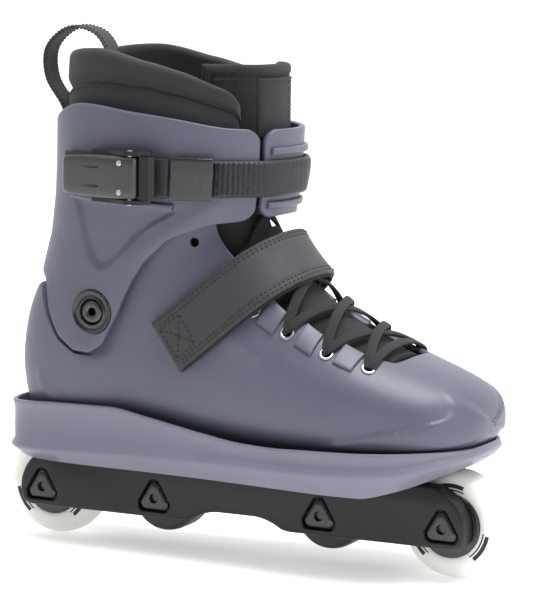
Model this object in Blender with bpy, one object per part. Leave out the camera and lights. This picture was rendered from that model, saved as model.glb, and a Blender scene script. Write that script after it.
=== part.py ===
"""Aggressive inline skate, right foot, as an assembly of separate named pieces.

Frame: +X towards the toe, +Y towards the inner (medial) side, +Z up. The origin lies on the ground,
midway between the outer axles, on the centre line of the wheels.
Every length below is in millimetres; mesh_object() scales it to metres.
"""
import math

import bmesh
import bpy
from mathutils import Vector
from mathutils.bvhtree import BVHTree

MM = 0.001

# ---------------------------------------------------------------- driving dimensions
WHEELBASE = 248.0
INNER_AXLE_X = 51.2
AXLE_X = {"rear": -WHEELBASE / 2, "mid_rear": -INNER_AXLE_X, "mid_front": INNER_AXLE_X, "front": WHEELBASE / 2}
OUTER_WHEELS = ("rear", "front")
WHEEL_RADIUS = 30.0
AXLE_Z = WHEEL_RADIUS
WHEEL_WIDTH = 24.0
SMALL_WHEEL_RADIUS = 21.0
CORE_RADIUS = 17.5
BEARING_RADIUS, BEARING_BORE, BEARING_WIDTH = 11.0, 4.2, 7.0
BEARING_SEAT = BEARING_RADIUS + 0.15
SHAFT_RADIUS = 4.0
GAP = 0.3

FRAME_HALF_WIDTH = 24.0
FRAME_BOTTOM_Z, FRAME_TOP_Z = 19.4, 53.0
WHEEL_SLOT_HALF_WIDTH = WHEEL_WIDTH / 2 + 0.8
GRIND_ARCH_Z = 26.0
FRAME_BOLT_X = 83.5
FRAME_BRIDGE_Z = 45.0
NUT_FLOOR_Z = {"rear": 67.6, "front": 68.4}

PLATE_FLOOR_Z = 61.0
PLATE_WALL = 3.6
WELL_TOP_Z = 62.4
CHANNEL_HALF_WIDTH, CHANNEL_TOP_Z = FRAME_HALF_WIDTH + 1.0, FRAME_TOP_Z + GAP
SHELL_WALL = 3.4
SHELL_SOLE_Z = 64.0
SHELL_FLAP_TOP_Z = 193.0
LINER_INSET, LINER_WALL = 7.8, 6.5
INSOLE_TOP_Z = 88.0

PIVOT_X, PIVOT_Z = -80.5, 136.6
CUFF_WALL = 3.2
CUFF_CLEARANCE = 1.8        # between the cuff and the boot body under it
CUFF_BUSH_RADIUS = 12.3
SLIT_ANGLE = 27.0
BUSH_OUTER_Y, BUSH_INNER_Y = 43.8, 40.6     # the two faces of the bush that the cuff turns on
PIVOT_NUT_Y = 32.0

COLLAR_INSET, COLLAR_WALL = CUFF_WALL + 1.6, 8.0
COLLAR_FRONT_ANGLE = 38.0
# Lower edge of the liner's collar as x, z
COLLAR_LOWER_EDGE = ((-112.0, 174.0), (-90.0, 188.0), (-50.0, 206.0))
# Upper edge of the collar as angle round the leg, z
COLLAR_UPPER_EDGE = ((0.0, 262.0), (40.0, 262.0), (75.0, 272.0), (120.0, 283.0), (150.0, 281.0), (180.0, 274.0))

STRAP_LOW_Z, STRAP_HIGH_Z = 203.5, 225.5    # the ladder strap on the cuff
BUCKLE_Z = (STRAP_LOW_Z + STRAP_HIGH_Z) / 2
LEVER_PIN = (-47.0, -61.5)                  # x, y of the upright pin of the buckle's lever
PAWL_PIVOT = (-40.8, -60.2)
STRAP_SLOPE = math.radians(38.7)            # the instep strap lies in a slanting plane
STRAP_CENTRE = (-11.0, 138.5)               # x, z of the middle of that plane
STRAP_HALF_WIDTH = 16.0
LACE_STATIONS = (5.55, 6.63, 7.76, 8.9, 10.0)
LACE_LIFT, LACE_RADIUS = 1.9, 1.1
PULL_LOOP_ROUTE = (
    (-115.7, 237.0), (-121.0, 249.0), (-131.0, 264.0), (-131.0, 281.0),
    (-117.0, 292.5), (-100.0, 290.0), (-92.0, 277.0), (-99.5, 262.0),
)

# Stations of the boot body, from the toe tip to the top of the leg. Each is a slice through the boot:
# lower (x, z), upper (x, z), half-width low and high, corner power low and high,
# share of an offset that runs along +X, sideways shift of the slice's middle.
STATIONS = (
    ((141.5, 83.5), (141.5, 86.5), 1.5, 1.5, 2.0, 2.0, 1.0, 5.0),
    ((140.3, 77.5), (140.6, 94.0), 17.0, 15.0, 2.3, 2.2, 0.93, 5.0),
    ((136.5, 73.0), (136.8, 101.5), 28.0, 25.0, 2.5, 2.2, 0.80, 5.0),
    ((128.5, 69.5), (129.0, 107.8), 38.0, 34.5, 2.7, 2.2, 0.60, 4.0),
    ((115.0, 66.5), (116.0, 113.5), 46.0, 42.0, 2.9, 2.2, 0.30, 3.0),
    ((96.0, 64.5), (97.0, 120.5), 50.5, 47.5, 3.1, 2.2, 0.08, 2.0),
    ((72.0, 64.0), (76.0, 129.5), 52.0, 48.5, 3.3, 2.2, 0.0, 0.0),
    ((45.0, 64.0), (56.0, 140.5), 49.5, 45.5, 3.3, 2.2, 0.0, -1.0),
    ((15.0, 64.0), (38.0, 154.5), 45.5, 42.0, 3.3, 2.2, 0.0, -1.0),
    ((-18.0, 64.0), (25.0, 169.0), 42.0, 40.0, 3.2, 2.2, 0.0, -1.0),
    ((-55.0, 64.0), (16.0, 182.0), 39.0, 38.5, 3.2, 2.3, 0.0, 0.0),
    ((-95.0, 64.0), (11.0, 193.0), 37.0, 38.5, 3.2, 2.3, 0.0, 0.0),
    ((-127.0, 70.0), (9.0, 203.0), 35.5, 39.0, 3.0, 2.3, 0.0, 0.0),
    ((-137.0, 95.0), (9.0, 211.0), 35.5, 40.0, 2.8, 2.3, 0.0, 0.0),
    ((-135.0, 125.0), (10.0, 219.0), 36.5, 41.0, 2.6, 2.3, 0.0, 0.0),
    ((-126.0, 150.0), (12.0, 227.0), 38.5, 42.0, 2.5, 2.3, 0.0, 0.0),
    ((-117.0, 178.0), (13.0, 235.0), 41.0, 44.0, 2.4, 2.3, 0.0, 0.0),
    ((-113.0, 205.0), (14.0, 243.0), 43.0, 45.0, 2.4, 2.3, 0.0, 0.0),
)
LAST_STATION = len(STATIONS) - 1
THROAT_START = 4.93         # station where the lace opening begins
# Half the lace opening, as station, angle from the instep line
THROAT_EDGE = (
    (5.2, 28.0), (5.8, 34.5), (6.4, 36.0), (7.4, 40.0), (8.0, 44.0), (9.0, 46.0), (12.0, 46.0), (15.0, 44.0),
)
HEEL_BULGE = 4.7            # how far the heel stands out below the cuff's rear edge
HEEL_STEP_GAP = 2.0         # from the cuff's lower edge down to the step in the shell

# Cuff: z, back x, front x, half-width of its outer surface
CUFF_LEVELS = (
    (105.0, -142.0, 14.0, 43.0),
    (130.0, -138.0, 14.0, 44.0),
    (157.0, -130.0, 15.0, 45.0),
    (178.0, -124.0, 17.0, 46.5),
    (200.0, -121.0, 20.0, 48.5),
    (218.0, -120.0, 22.0, 50.0),
    (240.0, -119.5, 23.0, 51.0),
    (262.0, -119.0, 23.0, 51.0),
)
CUFF_POWER = 2.35
# Lower edge of the cuff as x, z along its side
CUFF_LOWER_EDGE = (
    (-145.0, 158.0), (-128.0, 157.0), (-116.0, 151.0), (-107.0, 134.0), (-97.0, 120.5), (-86.0, 113.5),
    (-76.0, 113.0), (-68.5, 118.0), (-62.0, 132.0), (-56.0, 152.0), (-48.0, 167.0), (-35.0, 180.0),
    (-12.0, 189.0), (8.0, 191.5), (24.0, 195.0),
)
# Upper edge as angle round the cuff, z; 0 is the front, 90 the outer side, 180 the back
CUFF_UPPER_EDGE = ((0.0, 241.0), (45.0, 242.0), (80.0, 247.5), (118.0, 253.0), (150.0, 245.0), (180.0, 234.0))

# Sole plate outline seen from above, heel to toe along the outer side, then back along the inner side
PLATE_OUTLINE = (
    (-149.0, 0.0), (-146.0, -17.0), (-136.5, -30.5), (-118.0, -38.5), (-90.0, -42.0), (-50.0, -43.5),
    (-10.0, -46.5), (30.0, -51.5), (62.0, -55.5), (90.0, -54.5), (112.0, -47.0), (130.0, -32.0),
    (139.8, -13.0), (142.0, 5.0), (138.5, 24.0), (127.0, 41.0), (108.0, 51.0), (80.0, 54.5),
    (40.0, 50.5), (0.0, 45.0), (-50.0, 42.5), (-90.0, 41.5), (-118.0, 38.5), (-136.5, 30.5), (-146.0, 17.0),
)
# Heights of the plate's lower face, of the edge of its chamfer and of its rim, as x, z
PLATE_BOTTOM = (
    (-150.0, 49.0), (-135.0, 47.5), (85.0, 47.5), (105.0, 52.0), (120.0, 57.5), (132.0, 62.5), (143.0, 67.0),
)
PLATE_CHAMFER = (
    (-150.0, 53.0), (-95.0, 55.0), (-40.0, 57.0), (60.0, 58.5), (105.0, 61.0), (125.0, 65.5), (143.0, 71.0),
)
PLATE_TOP = (
    (-150.0, 79.5), (-100.0, 83.0), (-70.0, 83.5), (-46.0, 80.0), (-8.0, 74.0), (14.0, 71.5),
    (34.0, 71.0), (56.0, 72.0), (89.0, 73.0), (117.0, 74.0), (143.0, 74.5),
)

COLOURS = {
    "boot_plastic": ((0.16, 0.16, 0.21), 0.45, 0.0),
    "plate_plastic": ((0.24, 0.23, 0.30), 0.42, 0.0),
    "black_plastic": ((0.02, 0.02, 0.023), 0.5, 0.0),
    "black_gloss": ((0.03, 0.03, 0.032), 0.25, 0.0),
    "white_urethane": ((0.82, 0.81, 0.77), 0.35, 0.0),
    "black_urethane": ((0.015, 0.015, 0.016), 0.5, 0.0),
    "steel": ((0.6, 0.6, 0.62), 0.3, 1.0),
    "black_steel": ((0.05, 0.05, 0.055), 0.35, 0.8),
    "liner_fabric": ((0.025, 0.026, 0.028), 0.9, 0.0),
    "webbing": ((0.03, 0.03, 0.032), 0.85, 0.0),
    "foam": ((0.1, 0.1, 0.11), 0.95, 0.0),
}


# ---------------------------------------------------------------- small mathematics
def blend_table(table, x):
    """Value at x of a table of (x, value) pairs: straight between them, eased in and out over a large step."""
    if x <= table[0][0]:
        return table[0][1]
    for (x0, v0), (x1, v1) in zip(table, table[1:]):
        if x <= x1:
            t = (x - x0) / (x1 - x0)
            return v0 + (v1 - v0) * t * t * (3 - 2 * t) if abs(v1 - v0) > 25 else v0 + (v1 - v0) * t
    return table[-1][1]


def spline(values, s):
    """Catmull-Rom value at s of a list of numbers spaced one apart."""
    i = min(int(s), len(values) - 2)
    t = s - i
    b, c = values[i], values[i + 1]
    a = values[i - 1] if i > 0 else 2 * b - c
    d = values[i + 2] if i + 2 < len(values) else 2 * c - b
    return b + 0.5 * t * (c - a + t * (2 * a - 5 * b + 4 * c - d + t * (3 * (b - c) + d - a)))


def power(value, exponent):
    return math.copysign(abs(value) ** exponent, value)


# ---------------------------------------------------------------- scene helpers
def clear_scene():
    for obj in list(bpy.data.objects):
        bpy.data.objects.remove(obj)


def material(name):
    found = bpy.data.materials.get(name)
    if found:
        return found
    found = bpy.data.materials.new(name)
    found.use_nodes = True
    colour, roughness, metallic = COLOURS[name]
    shader = found.node_tree.nodes["Principled BSDF"]
    shader.inputs["Base Color"].default_value = (*colour, 1.0)
    shader.inputs["Roughness"].default_value = roughness
    shader.inputs["Metallic"].default_value = metallic
    return found


def mesh_object(name, points, faces, finish, origin=(0.0, 0.0, 0.0), helper=False):
    """A mesh object from points in millimetres, its origin at the given point, its faces turned outwards."""
    centre = Vector(origin)
    bm = bmesh.new()
    verts = [bm.verts.new((Vector(p) - centre) * MM) for p in points]
    for face in faces:
        bm.faces.new([verts[i] for i in face])
    bmesh.ops.remove_doubles(bm, verts=bm.verts, dist=0.002 * MM)
    bmesh.ops.recalc_face_normals(bm, faces=bm.faces)
    if bm.calc_volume(signed=True) < 0:
        bmesh.ops.reverse_faces(bm, faces=bm.faces)
    mesh = bpy.data.meshes.new(name)
    bm.to_mesh(mesh)
    bm.free()
    mesh.shade_smooth()
    mesh.set_sharp_from_angle(angle=math.radians(35))
    obj = bpy.data.objects.new(name, mesh)
    obj.location = centre * MM
    bpy.context.scene.collection.objects.link(obj)
    if helper:
        obj.hide_render = True
        obj.display_type = "WIRE"
    else:
        mesh.materials.append(material(finish))
    return obj


def loft(rings, cap=True):
    """Points and faces of closed rings joined one to the next, with both ends capped."""
    n = len(rings[0])
    points = [p for ring in rings for p in ring]
    faces = []
    for r in range(len(rings) - 1):
        for i in range(n):
            j = (i + 1) % n
            faces.append((r * n + i, r * n + j, (r + 1) * n + j, (r + 1) * n + i))
    if cap:
        faces.append(tuple(range(n))[::-1])
        faces.append(tuple((len(rings) - 1) * n + i for i in range(n)))
    return points, faces


def thick_sheet(outer, inner):
    """A solid between two equal grids of points (rows of columns), closed along all four edges."""
    rows, cols = len(outer), len(outer[0])
    points = [p for row in outer for p in row] + [p for row in inner for p in row]
    base = rows * cols
    faces = []
    for r in range(rows - 1):
        for c in range(cols - 1):
            a, b, d, e = r * cols + c, r * cols + c + 1, (r + 1) * cols + c + 1, (r + 1) * cols + c
            faces.append((a, b, d, e))
            faces.append((base + e, base + d, base + b, base + a))
    rim = [c for c in range(cols)] + [r * cols + cols - 1 for r in range(1, rows)]
    rim += [(rows - 1) * cols + c for c in range(cols - 2, -1, -1)] + [r * cols for r in range(rows - 2, 0, -1)]
    for a, b in zip(rim, rim[1:] + rim[:1]):
        faces.append((b, a, base + a, base + b))
    return points, faces


def cut(target, cutter, operation="DIFFERENCE"):
    modifier = target.modifiers.new(operation.lower(), "BOOLEAN")
    modifier.operation = operation
    modifier.solver = "EXACT"
    modifier.object = cutter
    return target


def box(name, low, high, finish="black_plastic", helper=False, origin=(0, 0, 0)):
    points = [(x, y, z) for x in (low[0], high[0]) for y in (low[1], high[1]) for z in (low[2], high[2])]
    faces = [(0, 1, 3, 2), (4, 6, 7, 5), (0, 4, 5, 1), (2, 3, 7, 6), (0, 2, 6, 4), (1, 5, 7, 3)]
    return mesh_object(name, points, faces, finish, origin, helper)


def turned(name, profile, finish, centre, steps=32, axis="Y", helper=False):
    """A closed profile of (radius, distance along the axis) turned round an axis through centre.
    A profile that starts and ends at radius 0 is closed on the axis."""
    solid = profile[0][0] == 0
    ring_profile = profile[1:-1] if solid else profile
    points, n = [], len(ring_profile)
    for k in range(steps):
        a = 2 * math.pi * k / steps
        for r, h in ring_profile:
            u, v = r * math.cos(a), r * math.sin(a)
            offset = {"Y": (u, h, v), "Z": (u, v, h), "X": (h, u, v)}[axis]
            points.append([centre[i] + offset[i] for i in range(3)])
    faces = []
    last = n - 1 if solid else n
    for k in range(steps):
        m = (k + 1) % steps
        for i in range(last):
            j = (i + 1) % n
            faces.append((k * n + i, k * n + j, m * n + j, m * n + i))
    if solid:
        faces.append([k * n for k in range(steps)])
        faces.append([k * n + n - 1 for k in range(steps)])
    return mesh_object(name, points, faces, finish, centre, helper)


def prism(name, outline, y_low, y_high, finish, centre, helper=False):
    """An outline of (x, z) points about centre, extruded along Y."""
    rings = [[(centre[0] + x, y, centre[2] + z) for x, z in outline] for y in (y_low, y_high)]
    points, faces = loft(rings)
    return mesh_object(name, points, faces, finish, centre, helper)


def tube(name, route, radius, finish, sides=8):
    """A round tube through route points, as a curve with filled caps."""
    curve = bpy.data.curves.new(name, "CURVE")
    curve.dimensions = "3D"
    curve.bevel_depth = radius * MM
    curve.bevel_resolution = max(0, sides // 2 - 2)
    curve.use_fill_caps = True
    line = curve.splines.new("POLY")
    line.points.add(len(route) - 1)
    for point, place in zip(line.points, route):
        point.co = (*(Vector(place) * MM), 1.0)
    curve.materials.append(material(finish))
    obj = bpy.data.objects.new(name, curve)
    bpy.context.scene.collection.objects.link(obj)
    return obj


def rounded_triangle(size, steps=4):
    """A triangle with bulging sides and round corners, one corner up, as (x, z) points."""
    outline = []
    for corner in range(3):
        a = math.radians(90 + 120 * corner)
        cx, cz = 0.62 * size * math.cos(a), 0.62 * size * math.sin(a)
        for k in range(steps):
            b = a + math.radians(-50 + 100 * k / (steps - 1))
            outline.append((cx + 0.38 * size * math.cos(b), cz + 0.38 * size * math.sin(b)))
    return outline


# ---------------------------------------------------------------- boot surface
def heel_bulge(x, z):
    """How much the heel stands out below the rear edge of the cuff."""
    edge = blend_table(CUFF_LOWER_EDGE, x)
    below = min(1.0, max(0.0, (edge + 2.0 - z) / 4.0))
    ahead = min(1.0, max(0.0, (-62.0 - x) / 30.0))
    return HEEL_BULGE * below * ahead * ahead * (3 - 2 * ahead)


def tuck(x, y, z, offset):
    """x and y moved inwards where the cuff covers the boot body, so that the cuff clears it all round."""
    edge = blend_table(CUFF_LOWER_EDGE, x)
    weight = min(1.0, max(0.0, (z - edge + (3.0 if offset == 0 else 16.0)) / 4.0))
    back, front, half = cuff_level(z)
    inset = CUFF_WALL + CUFF_CLEARANCE - offset
    middle, reach = (front + back) / 2, (front - back) / 2 - inset
    out = (abs((x - middle) / reach) ** CUFF_POWER + abs(y / (half - inset)) ** CUFF_POWER) ** (1 / CUFF_POWER)
    if x > middle or out <= 1.0 or weight == 0.0:
        return x, y
    share = 1 + (1 / out - 1) * weight
    return middle + (x - middle) * share, y * share


def boot_point(s, angle, offset=0.0, bulge=True):
    """A point of the boot body at station s; angle 0 is the outer side, 90 the instep, 180 the inner side."""
    column = [spline([station[k] for station in STATIONS], s) for k in (2, 3, 4, 5, 6, 7)]
    low_half, high_half, low_power, high_power, forward, shift = column
    low = Vector([spline([station[0][k] for station in STATIONS], s) for k in (0, 1)])
    high = Vector([spline([station[1][k] for station in STATIONS], s) for k in (0, 1)])
    c, sn = math.cos(math.radians(angle)), math.sin(math.radians(angle))
    exponent = 2.0 / (high_power if sn > 0 else low_power)
    share = 0.5 + 0.5 * power(sn, exponent)
    across = power(c, exponent)
    sideways = math.sqrt(max(0.0, 1 - min(1.0, forward) ** 2))
    half = max(0.4, low_half + (high_half - low_half) * share + offset * sideways)
    along = (high - low).normalized()
    place = low.lerp(high, share) + along * power(sn, exponent) * offset * sideways
    place.x += offset * forward
    y = shift - half * across
    if bulge and sn < 0.95:
        extra = heel_bulge(place.x, place.y)
        if extra > 0:
            reach = math.hypot(across, max(0.0, -sn)) or 1.0
            y -= extra * across / reach
            back = max(0.0, -power(sn, exponent)) / reach
            if place.y > SHELL_SOLE_Z + 6:
                place.x -= extra * back
    x, y = tuck(place.x, y, place.y, offset)
    return Vector((x, y, place.y))


def boot_ring(s, steps, offset=0.0, bulge=True):
    return [boot_point(s, 360.0 * k / steps, offset, bulge) for k in range(steps)]


def boot_target():
    """The boot body as a search tree, for laying straps and laces on it."""
    stations = [LAST_STATION * k / 60 for k in range(61)]
    points, faces = loft([boot_ring(s, 64, 0.0) for s in stations])
    return BVHTree.FromPolygons(points, faces)


# ---------------------------------------------------------------- cuff surface
def cuff_level(z):
    """Back x, front x and half-width of the cuff at height z."""
    return [blend_table([(level[0], level[k]) for level in CUFF_LEVELS], z) for k in (1, 2, 3)]


def cuff_point(angle, z, inset=0.0):
    """A point of the cuff at an angle round it; 0 is the front, 90 the outer side, 180 the back."""
    back, front, half = cuff_level(z)
    half -= inset
    reach = (front - back) / 2 - inset
    a = math.radians(angle)
    x = (front + back) / 2 + reach * power(math.cos(a), 2 / CUFF_POWER)
    return Vector((x, -half * power(math.sin(a), 2 / CUFF_POWER), z))


def cuff_edges(angle):
    """Lower and upper z of the cuff at an angle, with round corners at the slit."""
    side = cuff_point(angle, 160.0)
    folded = abs((angle + 180) % 360 - 180)
    low = blend_table(CUFF_LOWER_EDGE, side.x)
    high = blend_table(CUFF_UPPER_EDGE, folded)
    return low, high


def cuff_columns(count):
    first, last = SLIT_ANGLE + 1.6, 360 + SLIT_ANGLE - 1.6
    return [first + (last - first) * k / (count - 1) for k in range(count)]


def slit_round(k, count, radius=9.0):
    """How far the edges pull in near the slit, so that the flaps end in round corners."""
    step = min(k, count - 1 - k) * 2.2
    return radius - math.sqrt(max(0.0, radius ** 2 - (radius - step) ** 2)) if step < radius else 0.0


# ---------------------------------------------------------------- boot parts
def throat_half_angle(s):
    """Half the opening for the tongue and laces, as an angle from the instep line, at station s."""
    first, angle = THROAT_EDGE[0]
    if s <= THROAT_START:
        return 0.0
    if s < first:
        grown = (s - THROAT_START) / (first - THROAT_START)
        return angle * math.sqrt(1 - (1 - grown) ** 2)
    return blend_table(THROAT_EDGE, s)


def make_shell():
    """The hard boot: a sheet round the body, open along the instep and at the top."""
    stations = [0, 0.5, 1, 1.6, 2.3, 3, 4, 4.7, THROAT_START, 4.97, 5.06, 5.2, 5.8, 6.6, 7.4, 8.2, 9]
    stations += [10, 11, 12, 12.8, 13.6, 14.7]
    columns = 25
    outer, inner = [], []
    for s in stations:
        gap = throat_half_angle(s)
        angles = [90 + gap + (360 - 2 * gap) * k / (columns - 1) for k in range(columns)]
        outer.append([boot_point(s, a) for a in angles])
        inner.append([boot_point(s, a, -SHELL_WALL, False) for a in angles])
    points, faces = thick_sheet(outer, inner)
    # the first station closes the toe tip, outside and inside
    base = len(stations) * columns
    rim_first = set(range(columns)) | set(range(base, base + columns))
    faces = [f for f in faces if not (len(f) == 4 and set(f) <= rim_first)]
    closed_rows = sum(1 for s in stations if s <= THROAT_START)
    seam = set()
    for r in range(closed_rows):
        seam |= {r * columns, base + r * columns, r * columns + columns - 1, base + r * columns + columns - 1}
    faces = [f for f in faces if not set(f) <= seam]
    faces.append(tuple(range(columns - 1)))
    faces.append(tuple(base + k for k in range(columns - 1))[::-1])
    shell = mesh_object("boot_shell", points, faces, "boot_plastic")
    cut(shell, turned("cut_shell_pivot", [(0, -60), (3.4, -60), (3.4, 60), (0, 60)], None,
                      (PIVOT_X, 0, PIVOT_Z), 12, "Y", True))
    cut(shell, make_cuff_recess())
    cut(shell, box("cut_shell_top", (-70, -60, SHELL_FLAP_TOP_Z), (60, 60, 260), helper=True))
    for end, x in (("rear", -FRAME_BOLT_X), ("front", FRAME_BOLT_X)):
        hole = turned(f"cut_shell_bolt_{end}", [(0, -8), (4.4, -8), (4.4, 8), (0, 8)], None,
                      (x, 0, SHELL_SOLE_Z + 2), 12, "Z", True)
        cut(shell, hole)
    return shell


def make_cuff_recess():
    """A helper solid, a little larger than the cuff, that cuts the step the cuff's lower edge stands over."""
    count = 49
    outer, inner = [], []
    for r in range(4):
        row_out, row_in = [], []
        for a in cuff_columns(count):
            low, high = cuff_edges(a)
            low -= HEEL_STEP_GAP
            z = low + (high + 10 - low) * r / 3
            row_out.append(cuff_point(a, z, -14.0))
            row_in.append(cuff_point(a, z, CUFF_WALL + CUFF_CLEARANCE))
        outer.append(row_out)
        inner.append(row_in)
    points, faces = thick_sheet(outer, inner)
    return mesh_object("cut_cuff_recess", points, faces, None, helper=True)


def make_liner_foot():
    """The foot part of the padded inner boot, up to the ankle."""
    stations = [0.35, 0.8, 1.4, 2.2, 3, 4, 5.5, 7, 8.5, 10, 11, 12, 13, 14, 15.5]
    steps = 20
    outer = [boot_ring(s, steps, -LINER_INSET, False) for s in stations]
    inner = [boot_ring(s, steps, -LINER_INSET - LINER_WALL, False) for s in stations]
    liner = ring_shell("liner_foot", outer, inner, "liner_fabric")
    return cut(liner, box("cut_liner_top", (-130, -60, SHELL_FLAP_TOP_Z), (60, 60, 260), helper=True))


def ring_shell(name, outer, inner, finish):
    """A cup: outer and inner rings with the first ring closed and the last joined by a rim."""
    n = len(outer[0])
    points, faces = loft(outer, cap=False)
    more_points, more_faces = loft(inner, cap=False)
    base = len(points)
    faces.append(tuple(range(n))[::-1])
    faces += [tuple(base + i for i in face)[::-1] for face in more_faces]
    faces.append(tuple(base + i for i in range(n)))
    top = (len(outer) - 1) * n
    for i in range(n):
        j = (i + 1) % n
        faces.append((top + i, top + j, base + top + j, base + top + i))
    return mesh_object(name, points + more_points, faces, finish)


def liner_top(angle):
    """Height of the collar's upper edge round the leg; angle 0 is the front."""
    folded = abs((angle + 180) % 360 - 180)
    return blend_table(COLLAR_UPPER_EDGE, folded)


def make_collar():
    """The leg part of the inner boot, open at the front for the tongue."""
    columns, rows = 25, 4
    outer, inner = [], []
    for r in range(rows):
        t = r / (rows - 1)
        row_out, row_in = [], []
        for k in range(columns):
            a = COLLAR_FRONT_ANGLE + (360 - 2 * COLLAR_FRONT_ANGLE) * k / (columns - 1)
            bottom = blend_table(COLLAR_LOWER_EDGE, cuff_point(a, 200.0).x)
            z = bottom + (liner_top(a) - bottom) * t
            inset = COLLAR_INSET + 3.0 * t * t
            row_out.append(cuff_point(a, z, inset))
            row_in.append(cuff_point(a, z, inset + COLLAR_WALL))
        outer.append(row_out)
        inner.append(row_in)
    points, faces = thick_sheet(outer, inner)
    return mesh_object("liner_collar", points, faces, "liner_fabric")


def make_tongue():
    """The tongue's upper part, which stands in the front of the collar."""
    columns, rows = 9, 4
    outer, inner = [], []
    for r in range(rows):
        z = 206.0 + (276.0 - 206.0) * r / (rows - 1)
        angles = [-34.0 + 68.0 * k / (columns - 1) for k in range(columns)]
        outer.append([cuff_point(a, z, 8.5) for a in angles])
        inner.append([cuff_point(a, z, 15.5) for a in angles])
    points, faces = thick_sheet(outer, inner)
    return mesh_object("tongue_upper", points, faces, "liner_fabric")


def make_tongue_lower():
    """The tongue's lower part, between the lace opening and the foot part of the liner."""
    columns, stations = 9, (5.3, 6.1, 7.2, 8.4, 9.6, 10.6)
    outer, inner = [], []
    for s in stations:
        half = throat_half_angle(s) + 4.0
        angles = [90 - half + 2 * half * k / (columns - 1) for k in range(columns)]
        outer.append([boot_point(s, a, -SHELL_WALL - 1.1, False) for a in angles])
        inner.append([boot_point(s, a, -LINER_INSET + 1.3, False) for a in angles])
    points, faces = thick_sheet(outer, inner)
    return mesh_object("tongue_lower", points, faces, "liner_fabric")


def make_insole():
    """The footbed on the floor of the liner, flat on top."""
    stations = (3.2, 4, 5, 6, 7, 8, 9, 10, 10.6)
    angles = [235 + 70 * k / 6 for k in range(7)]
    below = [[boot_point(s, a, -LINER_INSET - LINER_WALL - 1.4, False) for a in angles] for s in stations]
    above = [[Vector((p.x, p.y, INSOLE_TOP_Z)) for p in row] for row in below]
    points, faces = thick_sheet(above, below)
    return mesh_object("insole", points, faces, "foam")


def make_cuff():
    """The hinged cuff: one sheet from the slit round the back to the slit again."""
    count, rows = 49, 5
    outer, inner = [], []
    columns = cuff_columns(count)
    for r in range(rows):
        row_out, row_in = [], []
        for k, a in enumerate(columns):
            low, high = cuff_edges(a)
            pull = slit_round(k, count)
            z = (low + pull) + (high - low - 2 * pull) * r / (rows - 1)
            row_out.append(cuff_point(a, z))
            row_in.append(cuff_point(a, z, CUFF_WALL))
        outer.append(row_out)
        inner.append(row_in)
    points, faces = thick_sheet(outer, inner)
    cuff = mesh_object("cuff", points, faces, "boot_plastic", (PIVOT_X, 0, PIVOT_Z))
    radius = CUFF_BUSH_RADIUS + 0.4
    bore = turned("cut_cuff_pivot", [(0, -70), (radius, -70), (radius, 70), (0, 70)],
                  None, (PIVOT_X, 0, PIVOT_Z), 20, "Y", True)
    return cut(cuff, bore)


def make_cuff_pivots():
    """On each side a wide bush that the cuff turns on, the bolt through it and the nut inside the shell."""
    centre = (PIVOT_X, 0, PIVOT_Z)
    step_y, nut_y, face = BUSH_INNER_Y + 1.2, PIVOT_NUT_Y - 1.3, BUSH_OUTER_Y + 0.3
    bush = [(7.0, BUSH_OUTER_Y), (10.2, BUSH_OUTER_Y - 0.6), (CUFF_BUSH_RADIUS, BUSH_OUTER_Y),
            (CUFF_BUSH_RADIUS, BUSH_INNER_Y), (3.3, BUSH_INNER_Y), (3.3, step_y), (7.0, step_y)]
    bolt = [(0, nut_y), (2.9, nut_y), (2.9, step_y + GAP), (6.6, step_y + GAP), (6.6, face - 0.5),
            (5.6, face), (0, face)]
    nut = [(3.2, nut_y), (7.5, nut_y), (7.5, PIVOT_NUT_Y), (3.2, PIVOT_NUT_Y)]
    socket = [(0, 42.2), (2.1, 42.2), (2.1, 47), (0, 47)]
    for side, sign in (("outer", -1), ("inner", 1)):
        bush_side, bolt_side, nut_side, socket_side = (
            [(radius, sign * y) for radius, y in profile] for profile in (bush, bolt, nut, socket))
        turned(f"cuff_bush_{side}", bush_side, "black_gloss", centre, 20)
        made = turned(f"cuff_bolt_{side}", bolt_side, "black_steel", centre, 14)
        cut(made, turned(f"cut_socket_{side}", socket_side, None, centre, 6, "Y", True))
        turned(f"cuff_nut_{side}", nut_side, "steel", centre, 14)


# ---------------------------------------------------------------- sole plate
def closed_outline(control, count):
    """Points evenly numbered along a smooth closed curve through control points."""
    n, result = len(control), []
    for k in range(count):
        s = n * k / count
        i, t = int(s), s - int(s)
        a, b, c, d = (Vector(control[(i + j - 1) % n]) for j in range(4))
        result.append(b + 0.5 * t * (c - a + t * (2 * a - 5 * b + 4 * c - d + t * (3 * (b - c) + d - a))))
    return result


def offset_outline(outline, distance):
    """The outline moved outwards by distance; it runs from the heel along the outer side first."""
    n, moved = len(outline), []
    for i, p in enumerate(outline):
        along = (outline[(i + 1) % n] - outline[i - 1]).normalized()
        moved.append(p + Vector((-along.y, along.x)) * -distance)
    return moved


def strip_cap(first, n):
    """Faces across a ring that runs from the heel along one side and back along the other."""
    faces = [(first, first + 1, first + n - 1), (first + n // 2 - 1, first + n // 2, first + n // 2 + 1)]
    for i in range(1, n // 2 - 1):
        a, b, c, d = first + i, first + i + 1, first + n - i - 1, first + n - i
        faces += [(a, b, c), (a, c, d)]
    return faces


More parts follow.
